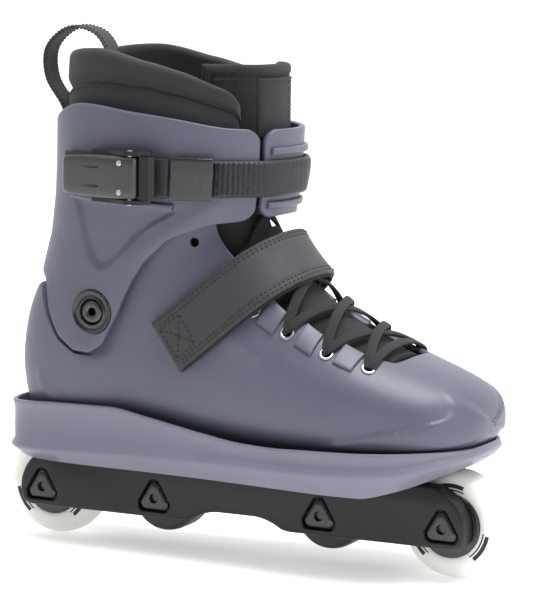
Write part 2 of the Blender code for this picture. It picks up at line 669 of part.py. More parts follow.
def make_plate():
    """The sole plate: a tray that holds the boot, with a channel and wheel wells underneath."""
    outline = closed_outline(PLATE_OUTLINE, 2 * len(PLATE_OUTLINE))
    levels = (
        (-8.0, lambda x: blend_table(PLATE_BOTTOM, x)),
        (1.2, lambda x: blend_table(PLATE_CHAMFER, x)),
        (-1.0, lambda x: 0.5 * (blend_table(PLATE_CHAMFER, x) + blend_table(PLATE_TOP, x))),
        (0.0, lambda x: blend_table(PLATE_TOP, x)),
        (-PLATE_WALL + 1.0, lambda x: blend_table(PLATE_TOP, x)),
        (-PLATE_WALL - 1.0, lambda x: PLATE_FLOOR_Z + max(0.0, (x - 112.0) * 0.2)),
    )
    rings = [[(p.x, p.y, height(p.x)) for p in offset_outline(outline, out)] for out, height in levels]
    points, faces = loft(rings, cap=False)
    n = len(outline)
    faces += strip_cap(0, n) + strip_cap(len(points) - n, n)
    plate = mesh_object("sole_plate", points, faces, "plate_plastic")
    channel_low, channel_high = (-170, -CHANNEL_HALF_WIDTH, 30), (108, CHANNEL_HALF_WIDTH, CHANNEL_TOP_Z)
    cut(plate, box("cut_channel", channel_low, channel_high, helper=True))
    for end in OUTER_WHEELS:
        x = AXLE_X[end]
        front = x + 31 if end == "rear" else x + 12
        cut(plate, box(f"cut_well_{end}", (x - 31, -15, 40), (front, 15, WELL_TOP_Z), helper=True))
    for end, x in (("rear", -FRAME_BOLT_X), ("front", FRAME_BOLT_X)):
        cut(plate, turned(f"cut_plate_bolt_{end}", [(0, -20), (3.6, -20), (3.6, 20), (0, 20)], None,
                          (x, 0, 57), 16, "Z", True))
    return plate


# ---------------------------------------------------------------- frame and wheels
def make_frame():
    """The frame: two walls joined by a grind block in the middle and a bridge over each mounting bolt."""
    end, low, high = 138.0, FRAME_BOTTOM_Z, FRAME_TOP_Z
    half = [(0.0, GRIND_ARCH_Z), (14.0, GRIND_ARCH_Z), (22.0, GRIND_ARCH_Z - 2.2), (29.0, low + 0.6), (33.0, low),
            (end - 6.0, low), (end - 1.6, low + 1.8), (end, low + 7.0), (end - 0.5, low + 16.0),
            (end - 5.0, low + 25.0), (end - 13.0, high - 2.5), (end - 18.0, high)]
    outline = half + [(-x, z) for x, z in reversed(half[1:])]
    rings = [[(x, y, z) for x, z in outline] for y in (-FRAME_HALF_WIDTH, FRAME_HALF_WIDTH)]
    points, faces = loft(rings)
    frame = mesh_object("frame", points, faces, "black_plastic")
    slot = WHEEL_SLOT_HALF_WIDTH
    bore = SHAFT_RADIUS + 0.2
    axle_hole = [(0, -40), (bore, -40), (bore, 40), (0, 40)]
    for name, x in AXLE_X.items():
        reach = 33.0 if name in OUTER_WHEELS else 23.5
        low_x, high_x = x - reach, x + reach
        if name == "rear":
            low_x = -150.0
        if name == "front":
            high_x = 150.0
        cut(frame, box(f"cut_slot_{name}", (low_x, -slot, 0), (high_x, slot, 80), helper=True))
        cut(frame, turned(f"cut_axle_{name}", axle_hole, None, (x, 0, AXLE_Z), 16, "Y", True))
        for side, sign in (("outer", -1), ("inner", 1)):
            ends = sorted((sign * (FRAME_HALF_WIDTH - 4.0), sign * (FRAME_HALF_WIDTH + 4.0)))
            recess = prism(f"cut_recess_{name}_{side}", rounded_triangle(10.6), *ends, None, (x, 0, AXLE_Z), True)
            cut(frame, recess)
    for name, sign in (("rear", -1), ("front", 1)):
        x = sign * FRAME_BOLT_X
        low_x, high_x = sorted((sign * (INNER_AXLE_X + 23.4), sign * (WHEELBASE / 2 - 32.9)))
        bay_low, bay_high = (low_x - 0.2, -slot, 0), (high_x + 0.2, slot, FRAME_BRIDGE_Z)
        cut(frame, box(f"cut_bolt_bay_{name}", bay_low, bay_high, helper=True))
        bolt_hole = [(0, -10), (3.4, -10), (3.4, 12), (0, 12)]
        cut(frame, turned(f"cut_bolt_{name}", bolt_hole, None, (x, 0, 49), 16, "Z", True))
    return frame


def make_frame_bolts():
    """The two bolts that hold frame, plate and boot together, and their nuts inside the boot."""
    head_z = FRAME_BRIDGE_Z - GAP
    socket = [(0, head_z - 6), (2.4, head_z - 6), (2.4, head_z - 1.8), (0, head_z - 1.8)]
    for name, x in (("rear", -FRAME_BOLT_X), ("front", FRAME_BOLT_X)):
        floor = NUT_FLOOR_Z[name]
        profile = [(0, head_z - 4), (5, head_z - 4), (5.6, head_z - 3.2), (5.6, head_z), (3.0, head_z),
                   (3.0, floor + 1.3), (0, floor + 1.3)]
        bolt = turned(f"frame_bolt_{name}", profile, "black_steel", (x, 0, 0), 14, "Z")
        cut(bolt, turned(f"cut_frame_socket_{name}", socket, None, (x, 0, 0), 6, "Z", True))
        nut = [(3.2, 64.5), (4.1, 64.5), (4.1, floor), (8.5, floor), (8.5, floor + 1.3), (3.2, floor + 1.3)]
        turned(f"frame_nut_{name}", nut, "steel", (x, 0, 0), 14, "Z")


def make_wheel(name):
    """Tyre, core and the two bearings of an outer wheel, or the one-piece small wheel of an inner axle."""
    centre = (AXLE_X[name], 0, AXLE_Z)
    half = WHEEL_WIDTH / 2
    shoulder = half - BEARING_WIDTH - GAP
    bearing_seats = [(BEARING_SEAT, shoulder), (BEARING_RADIUS - 2, shoulder),
                     (BEARING_RADIUS - 2, -shoulder), (BEARING_SEAT, -shoulder)]
    if name in OUTER_WHEELS:
        r = WHEEL_RADIUS
        tread = [(r, 0.0), (r - 0.35, 4.0), (r - 1.5, 7.4), (r - 4.0, 10.2), (r - 8.0, half - 0.4),
                 (CORE_RADIUS + GAP, half - 0.4)]
        profile = [(rad, -h) for rad, h in reversed(tread)] + tread[1:]
        turned(f"tyre_{name}", profile, "white_urethane", centre, 32)
        hub = [(BEARING_SEAT, -half), (CORE_RADIUS, -half), (CORE_RADIUS, half), (BEARING_SEAT, half)]
        turned(f"core_{name}", hub + bearing_seats, "black_gloss", centre, 20)
    else:
        r = SMALL_WHEEL_RADIUS
        rim = [(BEARING_SEAT, -half), (r - 4.5, -half), (r - 1.2, -half + 2.0), (r, -half + 5.0),
               (r, half - 5.0), (r - 1.2, half - 2.0), (r - 4.5, half), (BEARING_SEAT, half)]
        turned(f"small_wheel_{name}", rim + bearing_seats, "black_urethane", centre, 24)
    for side, sign in (("outer", -1), ("inner", 1)):
        near, far = sign * (half - BEARING_WIDTH), sign * half
        turned(f"bearing_{name}_{side}", [(BEARING_BORE, near), (BEARING_RADIUS, near), (BEARING_RADIUS, far),
                                          (BEARING_BORE, far)], "steel", centre, 16)


def make_axle(name):
    """A sleeve with a three-cornered head, the bolt that screws into it, and the spacer between the bearings."""
    centre = (AXLE_X[name], 0, AXLE_Z)
    seat = FRAME_HALF_WIDTH - 4.0 + GAP
    inner_half = WHEEL_WIDTH / 2 - BEARING_WIDTH - GAP
    spacer = [(BEARING_BORE, -inner_half), (5.6, -inner_half), (5.6, inner_half), (BEARING_BORE, inner_half)]
    turned(f"spacer_{name}", spacer, "steel", centre, 12)
    start, stop = -FRAME_HALF_WIDTH + 4.6, seat + 0.5
    tube_wall = [(3.2, start), (SHAFT_RADIUS, start), (SHAFT_RADIUS, stop), (3.2, stop)]
    sleeve = turned(f"axle_sleeve_{name}", tube_wall, "steel", centre, 12)
    face = FRAME_HALF_WIDTH - 0.6
    cut(sleeve, prism(f"head_sleeve_{name}", rounded_triangle(9.4), seat, face, "steel", centre, True), "UNION")
    bolt = turned(f"axle_bolt_{name}", [(0, -seat - 0.5), (2.9, -seat - 0.5), (2.9, seat - 2.0), (0, seat - 2.0)],
                  "black_gloss", centre, 12)
    head = prism(f"head_bolt_{name}", rounded_triangle(9.4), -face, -seat, "black_gloss", centre, True)
    cut(bolt, head, "UNION")


# ---------------------------------------------------------------- straps, buckle, laces
def cuff_band(name, first, last, low_z, high_z, inner_lift, outer_lift, count, finish):
    """A band that follows the outside of the cuff between two angles."""
    angles = [first + (last - first) * k / (count - 1) for k in range(count)]
    inner = [[cuff_point(a, z, -inner_lift) for a in angles] for z in (low_z, high_z)]
    outer = [[cuff_point(a, z, -outer_lift) for a in angles] for z in (low_z, high_z)]
    points, faces = thick_sheet(outer, inner)
    return mesh_object(name, points, faces, finish)


def make_buckle():
    """The ratchet buckle on the cuff's outer side, and the toothed strap that comes round from the inner side."""
    cuff_band("ladder_strap", 76.0, -84.0, STRAP_LOW_Z + 1, STRAP_HIGH_Z - 1, 1.2, 3.6, 30, "black_plastic")
    cuff_band("buckle_base", 128.0, 78.0, STRAP_LOW_Z - 0.5, STRAP_HIGH_Z + 0.5, 0.4, 3.4, 14, "black_plastic")
    cuff_band("buckle_nose", 84.0, 54.0, STRAP_LOW_Z - 0.5, STRAP_HIGH_Z + 0.5, 4.0, 6.0, 10, "black_plastic")
    place = cuff_point(-76.0, BUCKLE_Z)
    turned("ladder_screw", [(0, 4.3), (5.0, 4.3), (5.0, 5.2), (3.8, 6.2), (0, 6.2)], "black_steel", place, 14)
    low, high = STRAP_LOW_Z - 0.8, STRAP_HIGH_Z + 0.8
    lever_back, lever_front = -92.0, LEVER_PIN[0] + 4.0
    outline = [(lever_front, -58.6), (lever_back + 12, -57.2), (lever_back, -55.2), (lever_back + 0.8, -57.4),
               (lever_back + 14, -60.4), (lever_front - 6.0, -64.4), (lever_front, -64.0)]
    rings = [[(x, y, z) for x, y in outline] for z in (low, high)]
    points, faces = loft(rings)
    lever = mesh_object("buckle_lever", points, faces, "black_gloss", (*LEVER_PIN, BUCKLE_Z))
    hole = [(0, low - 6), (1.9, low - 6), (1.9, high + 6), (0, high + 6)]
    pin_hole = turned("cut_pin", hole, None, (*LEVER_PIN, 0), 12, "Z", True)
    cut(lever, pin_hole)
    for which, z0, z1 in (("low", low - 2.6, low - 0.4), ("high", high + 0.4, high + 2.6)):
        outline = [(-74.0, -53.6), (-38.0, -53.6), (-36.0, -58.0), (-41.0, -64.0), (-50.0, -64.5),
                   (-60.0, -60.0), (-74.0, -56.0)]
        rings = [[(x, y, z) for x, y in outline] for z in (z0, z1)]
        points, faces = loft(rings)
        cut(mesh_object(f"buckle_rail_{which}", points, faces, "black_plastic"), pin_hole)
    pin = [(0, low - 3.4), (1.5, low - 3.4), (1.5, high + 3.4), (0, high + 3.4)]
    turned("lever_pin", pin, "steel", (*LEVER_PIN, 0), 12, "Z")
    x, y = PAWL_PIVOT
    outline = [(x, y + 1.4), (x + 7.0, y + 1.8), (x + 8.5, y - 1.0), (x + 6.0, y - 3.6), (x, y - 2.6), (x - 1.4, y)]
    rings = [[(px, py, z) for px, py in outline] for z in (low, high)]
    points, faces = loft(rings)
    mesh_object("ratchet_pawl", points, faces, "black_plastic", (*PAWL_PIVOT, BUCKLE_Z))


def strap_point(target, angle, along, lift):
    """A point lift above the boot, in the slanting plane of the instep strap; angle 90 is the instep."""
    slope = Vector((math.cos(STRAP_SLOPE), 0, math.sin(STRAP_SLOPE)))
    across = Vector((math.sin(STRAP_SLOPE), 0, -math.cos(STRAP_SLOPE)))
    centre = Vector((STRAP_CENTRE[0], 0, STRAP_CENTRE[1])) + across * along
    a = math.radians(angle)
    direction = slope * math.sin(a) + Vector((0, -math.cos(a), 0))
    place, normal, _, _ = target.ray_cast(centre + direction * 120, -direction)
    return place + normal * lift


def strap_lift(angle):
    """Height of the strap's underside above the boot: higher over the instep, where the laces lie under it."""
    return 1.4 + 3.3 * math.exp(-((angle - 90) / 66) ** 4)


def make_instep_strap(target):
    """The strap over the instep, from low on the outer side to low on the inner side."""
    angles = [-38.0 + 256.0 * k / 26 for k in range(27)]
    widths = [-STRAP_HALF_WIDTH, -STRAP_HALF_WIDTH / 2, 0.0, STRAP_HALF_WIDTH / 2, STRAP_HALF_WIDTH]
    lifts = [strap_lift(a) for a in angles]
    outer = [[strap_point(target, a, w, lift + 4.0) for a, lift in zip(angles, lifts)] for w in widths]
    inner = [[strap_point(target, a, w, lift) for a, lift in zip(angles, lifts)] for w in widths]
    points, faces = thick_sheet(outer, inner)
    return mesh_object("instep_strap", points, faces, "webbing")


def make_strap_keeper(target):
    """The plate on the inner side that holds the end of the instep strap."""
    angles = [200.0 + 4.0 * k for k in range(5)]
    widths = [-STRAP_HALF_WIDTH + 1, 0.0, STRAP_HALF_WIDTH - 1]
    outer = [[strap_point(target, a, w, strap_lift(a) + 6.4) for a in angles] for w in widths]
    inner = [[strap_point(target, a, w, strap_lift(a) + 4.4) for a in angles] for w in widths]
    points, faces = thick_sheet(outer, inner)
    return mesh_object("strap_keeper", points, faces, "black_plastic")


def make_lace():
    """The shell's lace as one cord that goes from side to side up the opening."""
    route = []
    sides = [(LACE_STATIONS[k // 2], 1 if k % 4 in (0, 3) else -1) for k in range(2 * len(LACE_STATIONS))]
    for (s, side), (next_s, next_side) in zip(sides, sides[1:]):
        steps = 7 if side != next_side else 2
        for k in range(steps):
            t = k / steps
            station = s + (next_s - s) * t
            reach = throat_half_angle(station) + 11.0
            angle = 90 + reach * (side + (next_side - side) * t)
            route.append(boot_point(station, angle, LACE_LIFT, False))
    last, last_side = sides[-1]
    route.append(boot_point(last, 90 + last_side * (throat_half_angle(last) + 11.0), LACE_LIFT, False))
    return tube("shell_lace", route, LACE_RADIUS, "webbing", 6)


def smooth_route(control, per_span):
    """Points along an open Catmull-Rom curve through control points."""
    columns = list(zip(*control))
    count = per_span * (len(control) - 1)
    places = [(len(control) - 1) * k / count for k in range(count + 1)]
    return [Vector([spline(column, place) for column in columns]) for place in places]


def make_pull_loop():
    """The webbing loop that stands over the back of the liner collar, from its outside to its inside."""
    half_width, half_thick = 8.0, 0.8
    route = smooth_route(PULL_LOOP_ROUTE, 3)
    rings = []
    for k, place in enumerate(route):
        along = (route[min(k + 1, len(route) - 1)] - route[max(k - 1, 0)]).normalized()
        out = Vector((-along.y, along.x)) * half_thick
        low, high = place - out, place + out
        rings.append([(low.x, -half_width, low.y), (low.x, half_width, low.y),
                      (high.x, half_width, high.y), (high.x, -half_width, high.y)])
    points, faces = loft(rings)
    return mesh_object("pull_loop", points, faces, "webbing")


def main():
    clear_scene()
    target = boot_target()
    make_frame()
    make_plate()
    make_shell()
    make_liner_foot()
    make_collar()
    make_tongue()
    make_tongue_lower()
    make_insole()
    make_cuff()
    make_cuff_pivots()
    make_frame_bolts()
    for name in AXLE_X:
        make_wheel(name)
        make_axle(name)
    make_buckle()
    make_instep_strap(target)
    make_strap_keeper(target)
    make_lace()
    make_pull_loop()


main()
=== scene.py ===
"""Studio scene of the inline skate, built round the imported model.

Lengths are in millimetres in the row frame: +X towards the toe, +Y towards the inner side, +Z up.
"""
import math
from functools import lru_cache
from itertools import product

import bmesh
import bpy
from mathutils import Matrix, Vector
from mathutils.bvhtree import BVHTree


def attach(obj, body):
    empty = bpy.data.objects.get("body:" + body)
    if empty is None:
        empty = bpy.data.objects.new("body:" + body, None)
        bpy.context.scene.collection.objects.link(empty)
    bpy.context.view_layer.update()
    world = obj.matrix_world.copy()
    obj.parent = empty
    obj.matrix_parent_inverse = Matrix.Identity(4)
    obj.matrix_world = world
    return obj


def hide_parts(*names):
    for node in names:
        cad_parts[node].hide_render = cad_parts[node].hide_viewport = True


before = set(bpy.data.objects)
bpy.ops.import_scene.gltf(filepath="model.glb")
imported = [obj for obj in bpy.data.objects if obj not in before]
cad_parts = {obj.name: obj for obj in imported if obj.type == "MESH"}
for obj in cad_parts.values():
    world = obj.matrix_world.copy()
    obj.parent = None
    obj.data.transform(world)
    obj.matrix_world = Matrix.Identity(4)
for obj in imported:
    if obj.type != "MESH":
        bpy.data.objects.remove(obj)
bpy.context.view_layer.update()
MM = 0.001
SHARP_ANGLE = math.radians(38)    # edges sharper than this are shaded as edges

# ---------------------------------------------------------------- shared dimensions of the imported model
WHEELBASE = 248.0
INNER_AXLE_X = 51.2
AXLE_X = {"rear": -WHEELBASE / 2, "mid_rear": -INNER_AXLE_X, "mid_front": INNER_AXLE_X,
          "front": WHEELBASE / 2}
OUTER_WHEELS = ("rear", "front")
WHEEL_RADIUS = 30.0
AXLE_Z = WHEEL_RADIUS
WHEEL_WIDTH = 24.0
SMALL_WHEEL_RADIUS = 21.0
CORE_RADIUS = 17.5
BEARING_SEAT = 11.15        # radius of the bore that holds a bearing
GAP = 0.3

FRAME_HALF_WIDTH = 24.0
FRAME_BOTTOM_Z, FRAME_TOP_Z = 19.4, 53.0
WHEEL_SLOT_HALF_WIDTH = WHEEL_WIDTH / 2 + 0.8
GRIND_ARCH_Z = 26.0
FRAME_BOLT_X = 83.5
FRAME_BRIDGE_Z = 45.0

PLATE_FLOOR_Z = 61.0
PLATE_WALL = 3.6
WELL_TOP_Z = 62.4
CHANNEL_HALF_WIDTH, CHANNEL_TOP_Z = FRAME_HALF_WIDTH + 1.0, FRAME_TOP_Z + GAP
SHELL_WALL = 3.4
SHELL_SOLE_Z = 64.0
SHELL_FLAP_TOP_Z = 193.0
LINER_INSET, LINER_WALL = 7.8, 6.5
INSOLE_TOP_Z = 88.0

PIVOT_X, PIVOT_Z = -80.5, 136.6
CUFF_WALL = 3.2
CUFF_CLEARANCE = 1.8        # between the cuff and the boot body under it
CUFF_BUSH_RADIUS = 12.3
SLIT_ANGLE = 27.0           # where the cuff's two ends meet
CUFF_FIRST_ANGLE, CUFF_LAST_ANGLE = SLIT_ANGLE + 1.6, 360 + SLIT_ANGLE - 1.6
STRAP_LOW_Z, STRAP_HIGH_Z = 203.5, 225.5

# Stations of the boot body, from the toe tip to the top of the leg. Each is a slice through the boot:
# lower (x, z), upper (x, z), half-width low and high, corner power low and high,
# share of an offset that runs along +X, sideways shift of the slice's middle.
STATIONS = (
    ((141.5, 83.5), (141.5, 86.5), 1.5, 1.5, 2.0, 2.0, 1.0, 5.0),
    ((140.3, 77.5), (140.6, 94.0), 17.0, 15.0, 2.3, 2.2, 0.93, 5.0),
    ((136.5, 73.0), (136.8, 101.5), 28.0, 25.0, 2.5, 2.2, 0.80, 5.0),
    ((128.5, 69.5), (129.0, 107.8), 38.0, 34.5, 2.7, 2.2, 0.60, 4.0),
    ((115.0, 66.5), (116.0, 113.5), 46.0, 42.0, 2.9, 2.2, 0.30, 3.0),
    ((96.0, 64.5), (97.0, 120.5), 50.5, 47.5, 3.1, 2.2, 0.08, 2.0),
    ((72.0, 64.0), (76.0, 129.5), 52.0, 48.5, 3.3, 2.2, 0.0, 0.0),
    ((45.0, 64.0), (56.0, 140.5), 49.5, 45.5, 3.3, 2.2, 0.0, -1.0),
    ((15.0, 64.0), (38.0, 154.5), 45.5, 42.0, 3.3, 2.2, 0.0, -1.0),
    ((-18.0, 64.0), (25.0, 169.0), 42.0, 40.0, 3.2, 2.2, 0.0, -1.0),
    ((-55.0, 64.0), (16.0, 182.0), 39.0, 38.5, 3.2, 2.3, 0.0, 0.0),
    ((-95.0, 64.0), (11.0, 193.0), 37.0, 38.5, 3.2, 2.3, 0.0, 0.0),
    ((-127.0, 70.0), (9.0, 203.0), 35.5, 39.0, 3.0, 2.3, 0.0, 0.0),
    ((-137.0, 95.0), (9.0, 211.0), 35.5, 40.0, 2.8, 2.3, 0.0, 0.0),
    ((-135.0, 125.0), (10.0, 219.0), 36.5, 41.0, 2.6, 2.3, 0.0, 0.0),
    ((-126.0, 150.0), (12.0, 227.0), 38.5, 42.0, 2.5, 2.3, 0.0, 0.0),
    ((-117.0, 178.0), (13.0, 235.0), 41.0, 44.0, 2.4, 2.3, 0.0, 0.0),
    ((-113.0, 205.0), (14.0, 243.0), 43.0, 45.0, 2.4, 2.3, 0.0, 0.0),
)
LAST_STATION = len(STATIONS) - 1
THROAT_START = 4.93         # station where the lace opening begins
# Half the lace opening, as station, angle from the instep line
THROAT_EDGE = ((5.2, 28.0), (5.8, 34.5), (6.4, 36.0), (7.4, 40.0), (8.0, 44.0), (9.0, 46.0), (12.0, 46.0),
               (15.0, 44.0))
HEEL_BULGE = 4.7            # how far the heel stands out below the cuff's rear edge
HEEL_STEP_GAP = 2.0         # from the cuff's lower edge down to the step in the shell

# Cuff: z, back x, front x, half-width of its outer surface
CUFF_LEVELS = (
    (105.0, -142.0, 14.0, 43.0),
    (130.0, -138.0, 14.0, 44.0),
    (157.0, -130.0, 15.0, 45.0),
    (178.0, -124.0, 17.0, 46.5),
    (200.0, -121.0, 20.0, 48.5),
    (218.0, -120.0, 22.0, 50.0),
    (240.0, -119.5, 23.0, 51.0),
    (262.0, -119.0, 23.0, 51.0),
)
CUFF_POWER = 2.35
# Lower edge of the cuff as x, z along its side
CUFF_LOWER_EDGE = (
    (-145.0, 158.0), (-128.0, 157.0), (-116.0, 151.0), (-107.0, 134.0), (-97.0, 120.5), (-86.0, 113.5),
    (-76.0, 113.0), (-68.5, 118.0), (-62.0, 132.0), (-56.0, 152.0), (-48.0, 167.0), (-35.0, 180.0),
    (-12.0, 189.0), (8.0, 191.5), (24.0, 195.0),
)
# Upper edge as angle round the cuff, z; 0 is the front, 90 the outer side, 180 the back
CUFF_UPPER_EDGE = ((0.0, 241.0), (45.0, 242.0), (80.0, 247.5), (118.0, 253.0), (150.0, 245.0),
                   (180.0, 234.0))

# Sole plate outline seen from above, heel to toe along the outer side, then back along the inner side
PLATE_OUTLINE = (
    (-149.0, 0.0), (-146.0, -17.0), (-136.5, -30.5), (-118.0, -38.5), (-90.0, -42.0), (-50.0, -43.5),
    (-10.0, -46.5), (30.0, -51.5), (62.0, -55.5), (90.0, -54.5), (112.0, -47.0), (130.0, -32.0),
    (139.8, -13.0), (142.0, 5.0), (138.5, 24.0), (127.0, 41.0), (108.0, 51.0), (80.0, 54.5),
    (40.0, 50.5), (0.0, 45.0), (-50.0, 42.5), (-90.0, 41.5), (-118.0, 38.5), (-136.5, 30.5), (-146.0, 17.0),
)
PLATE_BOTTOM = ((-150.0, 49.0), (-135.0, 47.5), (85.0, 47.5), (105.0, 52.0), (120.0, 57.5), (132.0, 62.5),
                (143.0, 67.0))
PLATE_CHAMFER = ((-150.0, 53.0), (-95.0, 55.0), (-40.0, 57.0), (60.0, 58.5), (105.0, 61.0), (125.0, 65.5),
                 (143.0, 71.0))
PLATE_TOP = (
    (-150.0, 79.5), (-100.0, 83.0), (-70.0, 83.5), (-46.0, 80.0), (-8.0, 74.0), (14.0, 71.5),
    (34.0, 71.0), (56.0, 72.0), (89.0, 73.0), (117.0, 74.0), (143.0, 74.5),
)
COLLAR_INSET, COLLAR_WALL = CUFF_WALL + 1.6, 8.0
COLLAR_LOWER_EDGE = ((-112.0, 174.0), (-90.0, 188.0), (-50.0, 206.0))
COLLAR_FRONT_ANGLE = 38.0
TONGUE_OUTER_ANGLE, TONGUE_TUCK = 62.0, 7.5
BUSH_OUTER_Y, BUSH_INNER_Y = 43.8, 40.6
BUCKLE_Z = (STRAP_LOW_Z + STRAP_HIGH_Z) / 2
LEVER_PIN = (-47.0, -61.5)
STRAP_SLOPE = math.radians(38.7)
STRAP_CENTRE = (-11.0, 138.5)
STRAP_HALF_WIDTH = 16.0
EYELETS = ((5.55, 43.5), (6.63, 37.5), (7.76, 33.0), (8.90, 30.0))
# Toe-cap crease as folded angle, station
TOE_CREASE = ((-36.0, 6.40), (-21.0, 5.78), (-9.0, 4.93), (-1.5, 3.85), (9.0, 3.0), (21.0, 2.83),
              (39.0, 3.12), (54.0, 3.57), (66.0, 3.91))
# Recess under the buckle as angle round the cuff, z
POCKET = ((124.0, 202.0), (106.0, 201.0), (88.5, 199.3), (73.0, 197.6), (73.5, 194.6), (84.0, 186.1),
          (90.5, 175.9), (97.0, 163.4), (99.5, 161.2), (103.0, 161.3), (109.5, 168.3), (117.0, 184.7))

# ---------------------------------------------------------------- camera, light, floor
CAMERA_AZIMUTH, CAMERA_ELEVATION, CAMERA_ROLL = 25.82, 7.5, 0.7
CAMERA_TARGET, CAMERA_DISTANCE = (6.9, 0.0, 144.3), 1684.8
CAMERA_LENS = 181.3
WORLD_DARK, WORLD_BRIGHT = 0.12, 1.35


def make_camera():
    azimuth, elevation, roll = (math.radians(a) for a in (CAMERA_AZIMUTH, CAMERA_ELEVATION, CAMERA_ROLL))
    back = Vector((math.sin(azimuth) * math.cos(elevation), -math.cos(azimuth) * math.cos(elevation),
                   math.sin(elevation)))
    right = Vector((math.cos(azimuth), math.sin(azimuth), 0))
    up = back.cross(right)
    side = right * math.cos(roll) + up * math.sin(roll)
    top = up * math.cos(roll) - right * math.sin(roll)
    data = bpy.data.cameras.new("camera")
    data.lens = CAMERA_LENS
    data.sensor_width = 36.0
    data.clip_start, data.clip_end = 0.05, 50.0
    camera = bpy.data.objects.new("camera", data)
    place = (Vector(CAMERA_TARGET) + back * CAMERA_DISTANCE) * MM
    camera.matrix_world = Matrix(((side.x, top.x, back.x, place.x), (side.y, top.y, back.y, place.y),
                                  (side.z, top.z, back.z, place.z), (0, 0, 0, 1)))
    bpy.context.scene.collection.objects.link(camera)
    bpy.context.scene.camera = camera


def area_light(name, place, aim, size, watts, colour=(1.0, 1.0, 1.0)):
    data = bpy.data.lights.new(name, "AREA")
    data.shape = "RECTANGLE"
    data.size, data.size_y = size
    data.energy = watts
    data.color = colour
    light = bpy.data.objects.new(name, data)
    light.location = place
    light.rotation_euler = (Vector(aim) - Vector(place)).to_track_quat("-Z", "Y").to_euler()
    bpy.context.scene.collection.objects.link(light)


def make_studio():
    world = bpy.data.worlds.new("studio")
    bpy.context.scene.world = world
    world.use_nodes = True
    tree = world.node_tree
    tree.nodes["Background"].inputs["Color"].default_value = (1.0, 1.0, 1.0, 1.0)
    lean = add(tree, "ShaderNodeVectorMath", operation="DOT_PRODUCT")
    tree.links.new(add(tree, "ShaderNodeTexCoord").outputs["Generated"], lean.inputs[0])
    lean.inputs[1].default_value = (-0.38, 0.86, 0.34)
    strength = ramp(tree, lean.outputs["Value"], WORLD_DARK, WORLD_BRIGHT, -0.6, 0.7)
    tree.links.new(strength, tree.nodes["Background"].inputs["Strength"])
    bpy.context.scene.view_settings.view_transform = "Standard"
    area_light("key", (-0.9, -1.2, 1.2), (0.0, 0.0, 0.14), (0.7, 0.7), 2.0)
    area_light("top", (0.35, -0.1, 1.4), (0.04, 0.0, 0.1), (1.0, 0.8), 28.0)
    area_light("toe", (1.5, -0.5, 0.6), (0.08, 0.0, 0.12), (0.5, 0.7), 6.0)
    size = 6.0
    mesh = bpy.data.meshes.new("floor")
    mesh.from_pydata([(-size, -size, -0.0004), (size, -size, -0.0004), (size, size, -0.0004),
                      (-size, size, -0.0004)],
                     [], [(0, 1, 2, 3)])
    floor = bpy.data.objects.new("floor", mesh)
    bpy.context.scene.collection.objects.link(floor)
    mesh.materials.append(paper())


# ---------------------------------------------------------------- materials
def shader_material(name):
    made = bpy.data.materials.new(name)
    made.use_nodes = True
    return made, made.node_tree, made.node_tree.nodes["Principled BSDF"]


def add(tree, kind, **values):
    """A node of that kind, with its input sockets set by name and its properties by attribute."""
    node = tree.nodes.new(kind)
    for key, value in values.items():
        if key in node.inputs.keys():
            node.inputs[key].default_value = value
        else:
            setattr(node, key.lower(), value)
    return node


def noise(tree, coords, scale, detail=4.0, roughness=0.55):
    node = add(tree, "ShaderNodeTexNoise", Scale=scale, Detail=detail, Roughness=roughness)
    tree.links.new(coords, node.inputs["Vector"])
    return node.outputs["Fac"]


def set_inputs(node, values):
    for key, value in values.items():
        node.inputs[key].default_value = value


def ramp(tree, value, low, high, from_min=0.3, from_max=0.7):
    """value stretched from from_min..from_max to low..high."""
    node = add(tree, "ShaderNodeMapRange")
    set_inputs(node, {"From Min": from_min, "From Max": from_max, "To Min": low, "To Max": high})
    tree.links.new(value, node.inputs["Value"])
    return node.outputs["Result"]


def tint(tree, value, colour, shade):
    """colour where value is 0, colour times shade where it is 1."""
    node = add(tree, "ShaderNodeMix", data_type="RGBA")
    first, second = (socket for socket in node.inputs if socket.type == "RGBA")
    first.default_value = (*colour, 1.0)
    second.default_value = (*[c * shade for c in colour], 1.0)
    factor = next(socket for socket in node.inputs if socket.type == "VALUE")
    tree.links.new(value, factor)
    return next(socket for socket in node.outputs if socket.type == "RGBA")


def bump(tree, height, distance, strength, normal=None):
    node = add(tree, "ShaderNodeBump", Strength=strength, Distance=distance)
    tree.links.new(height, node.inputs["Height"])
    if normal is not None:
        tree.links.new(normal, node.inputs["Normal"])
    return node.outputs["Normal"]


def object_coords(tree):
    return add(tree, "ShaderNodeTexCoord").outputs["Object"]


@lru_cache(maxsize=None)
def paper():
    made, _, shader = shader_material("floor_paper")
    set_inputs(shader, {"Base Color": (0.95, 0.95, 0.95, 1.0), "Emission Color": (1.0, 1.0, 1.0, 1.0),
                        "Emission Strength": 0.3, "Roughness": 0.7, "Specular IOR Level": 0.2})
    return made


def noisy(name, colour, shade, tone, gloss, relief, inputs):
    """A material whose colour, roughness and relief follow noise.

    tone is the noise's settings. gloss adds the roughness range, and relief the distance and strength.
    """
    made, tree, shader = shader_material(name)
    coords = object_coords(tree)
    toned = tint(tree, ramp(tree, noise(tree, coords, *tone), 0.0, 1.0), colour, shade)
    tree.links.new(toned, shader.inputs["Base Color"])
    tree.links.new(ramp(tree, noise(tree, coords, *gloss[0]), *gloss[1:]), shader.inputs["Roughness"])
    tree.links.new(bump(tree, noise(tree, coords, *relief[0]), *relief[1:]), shader.inputs["Normal"])
    set_inputs(shader, inputs)
    return made


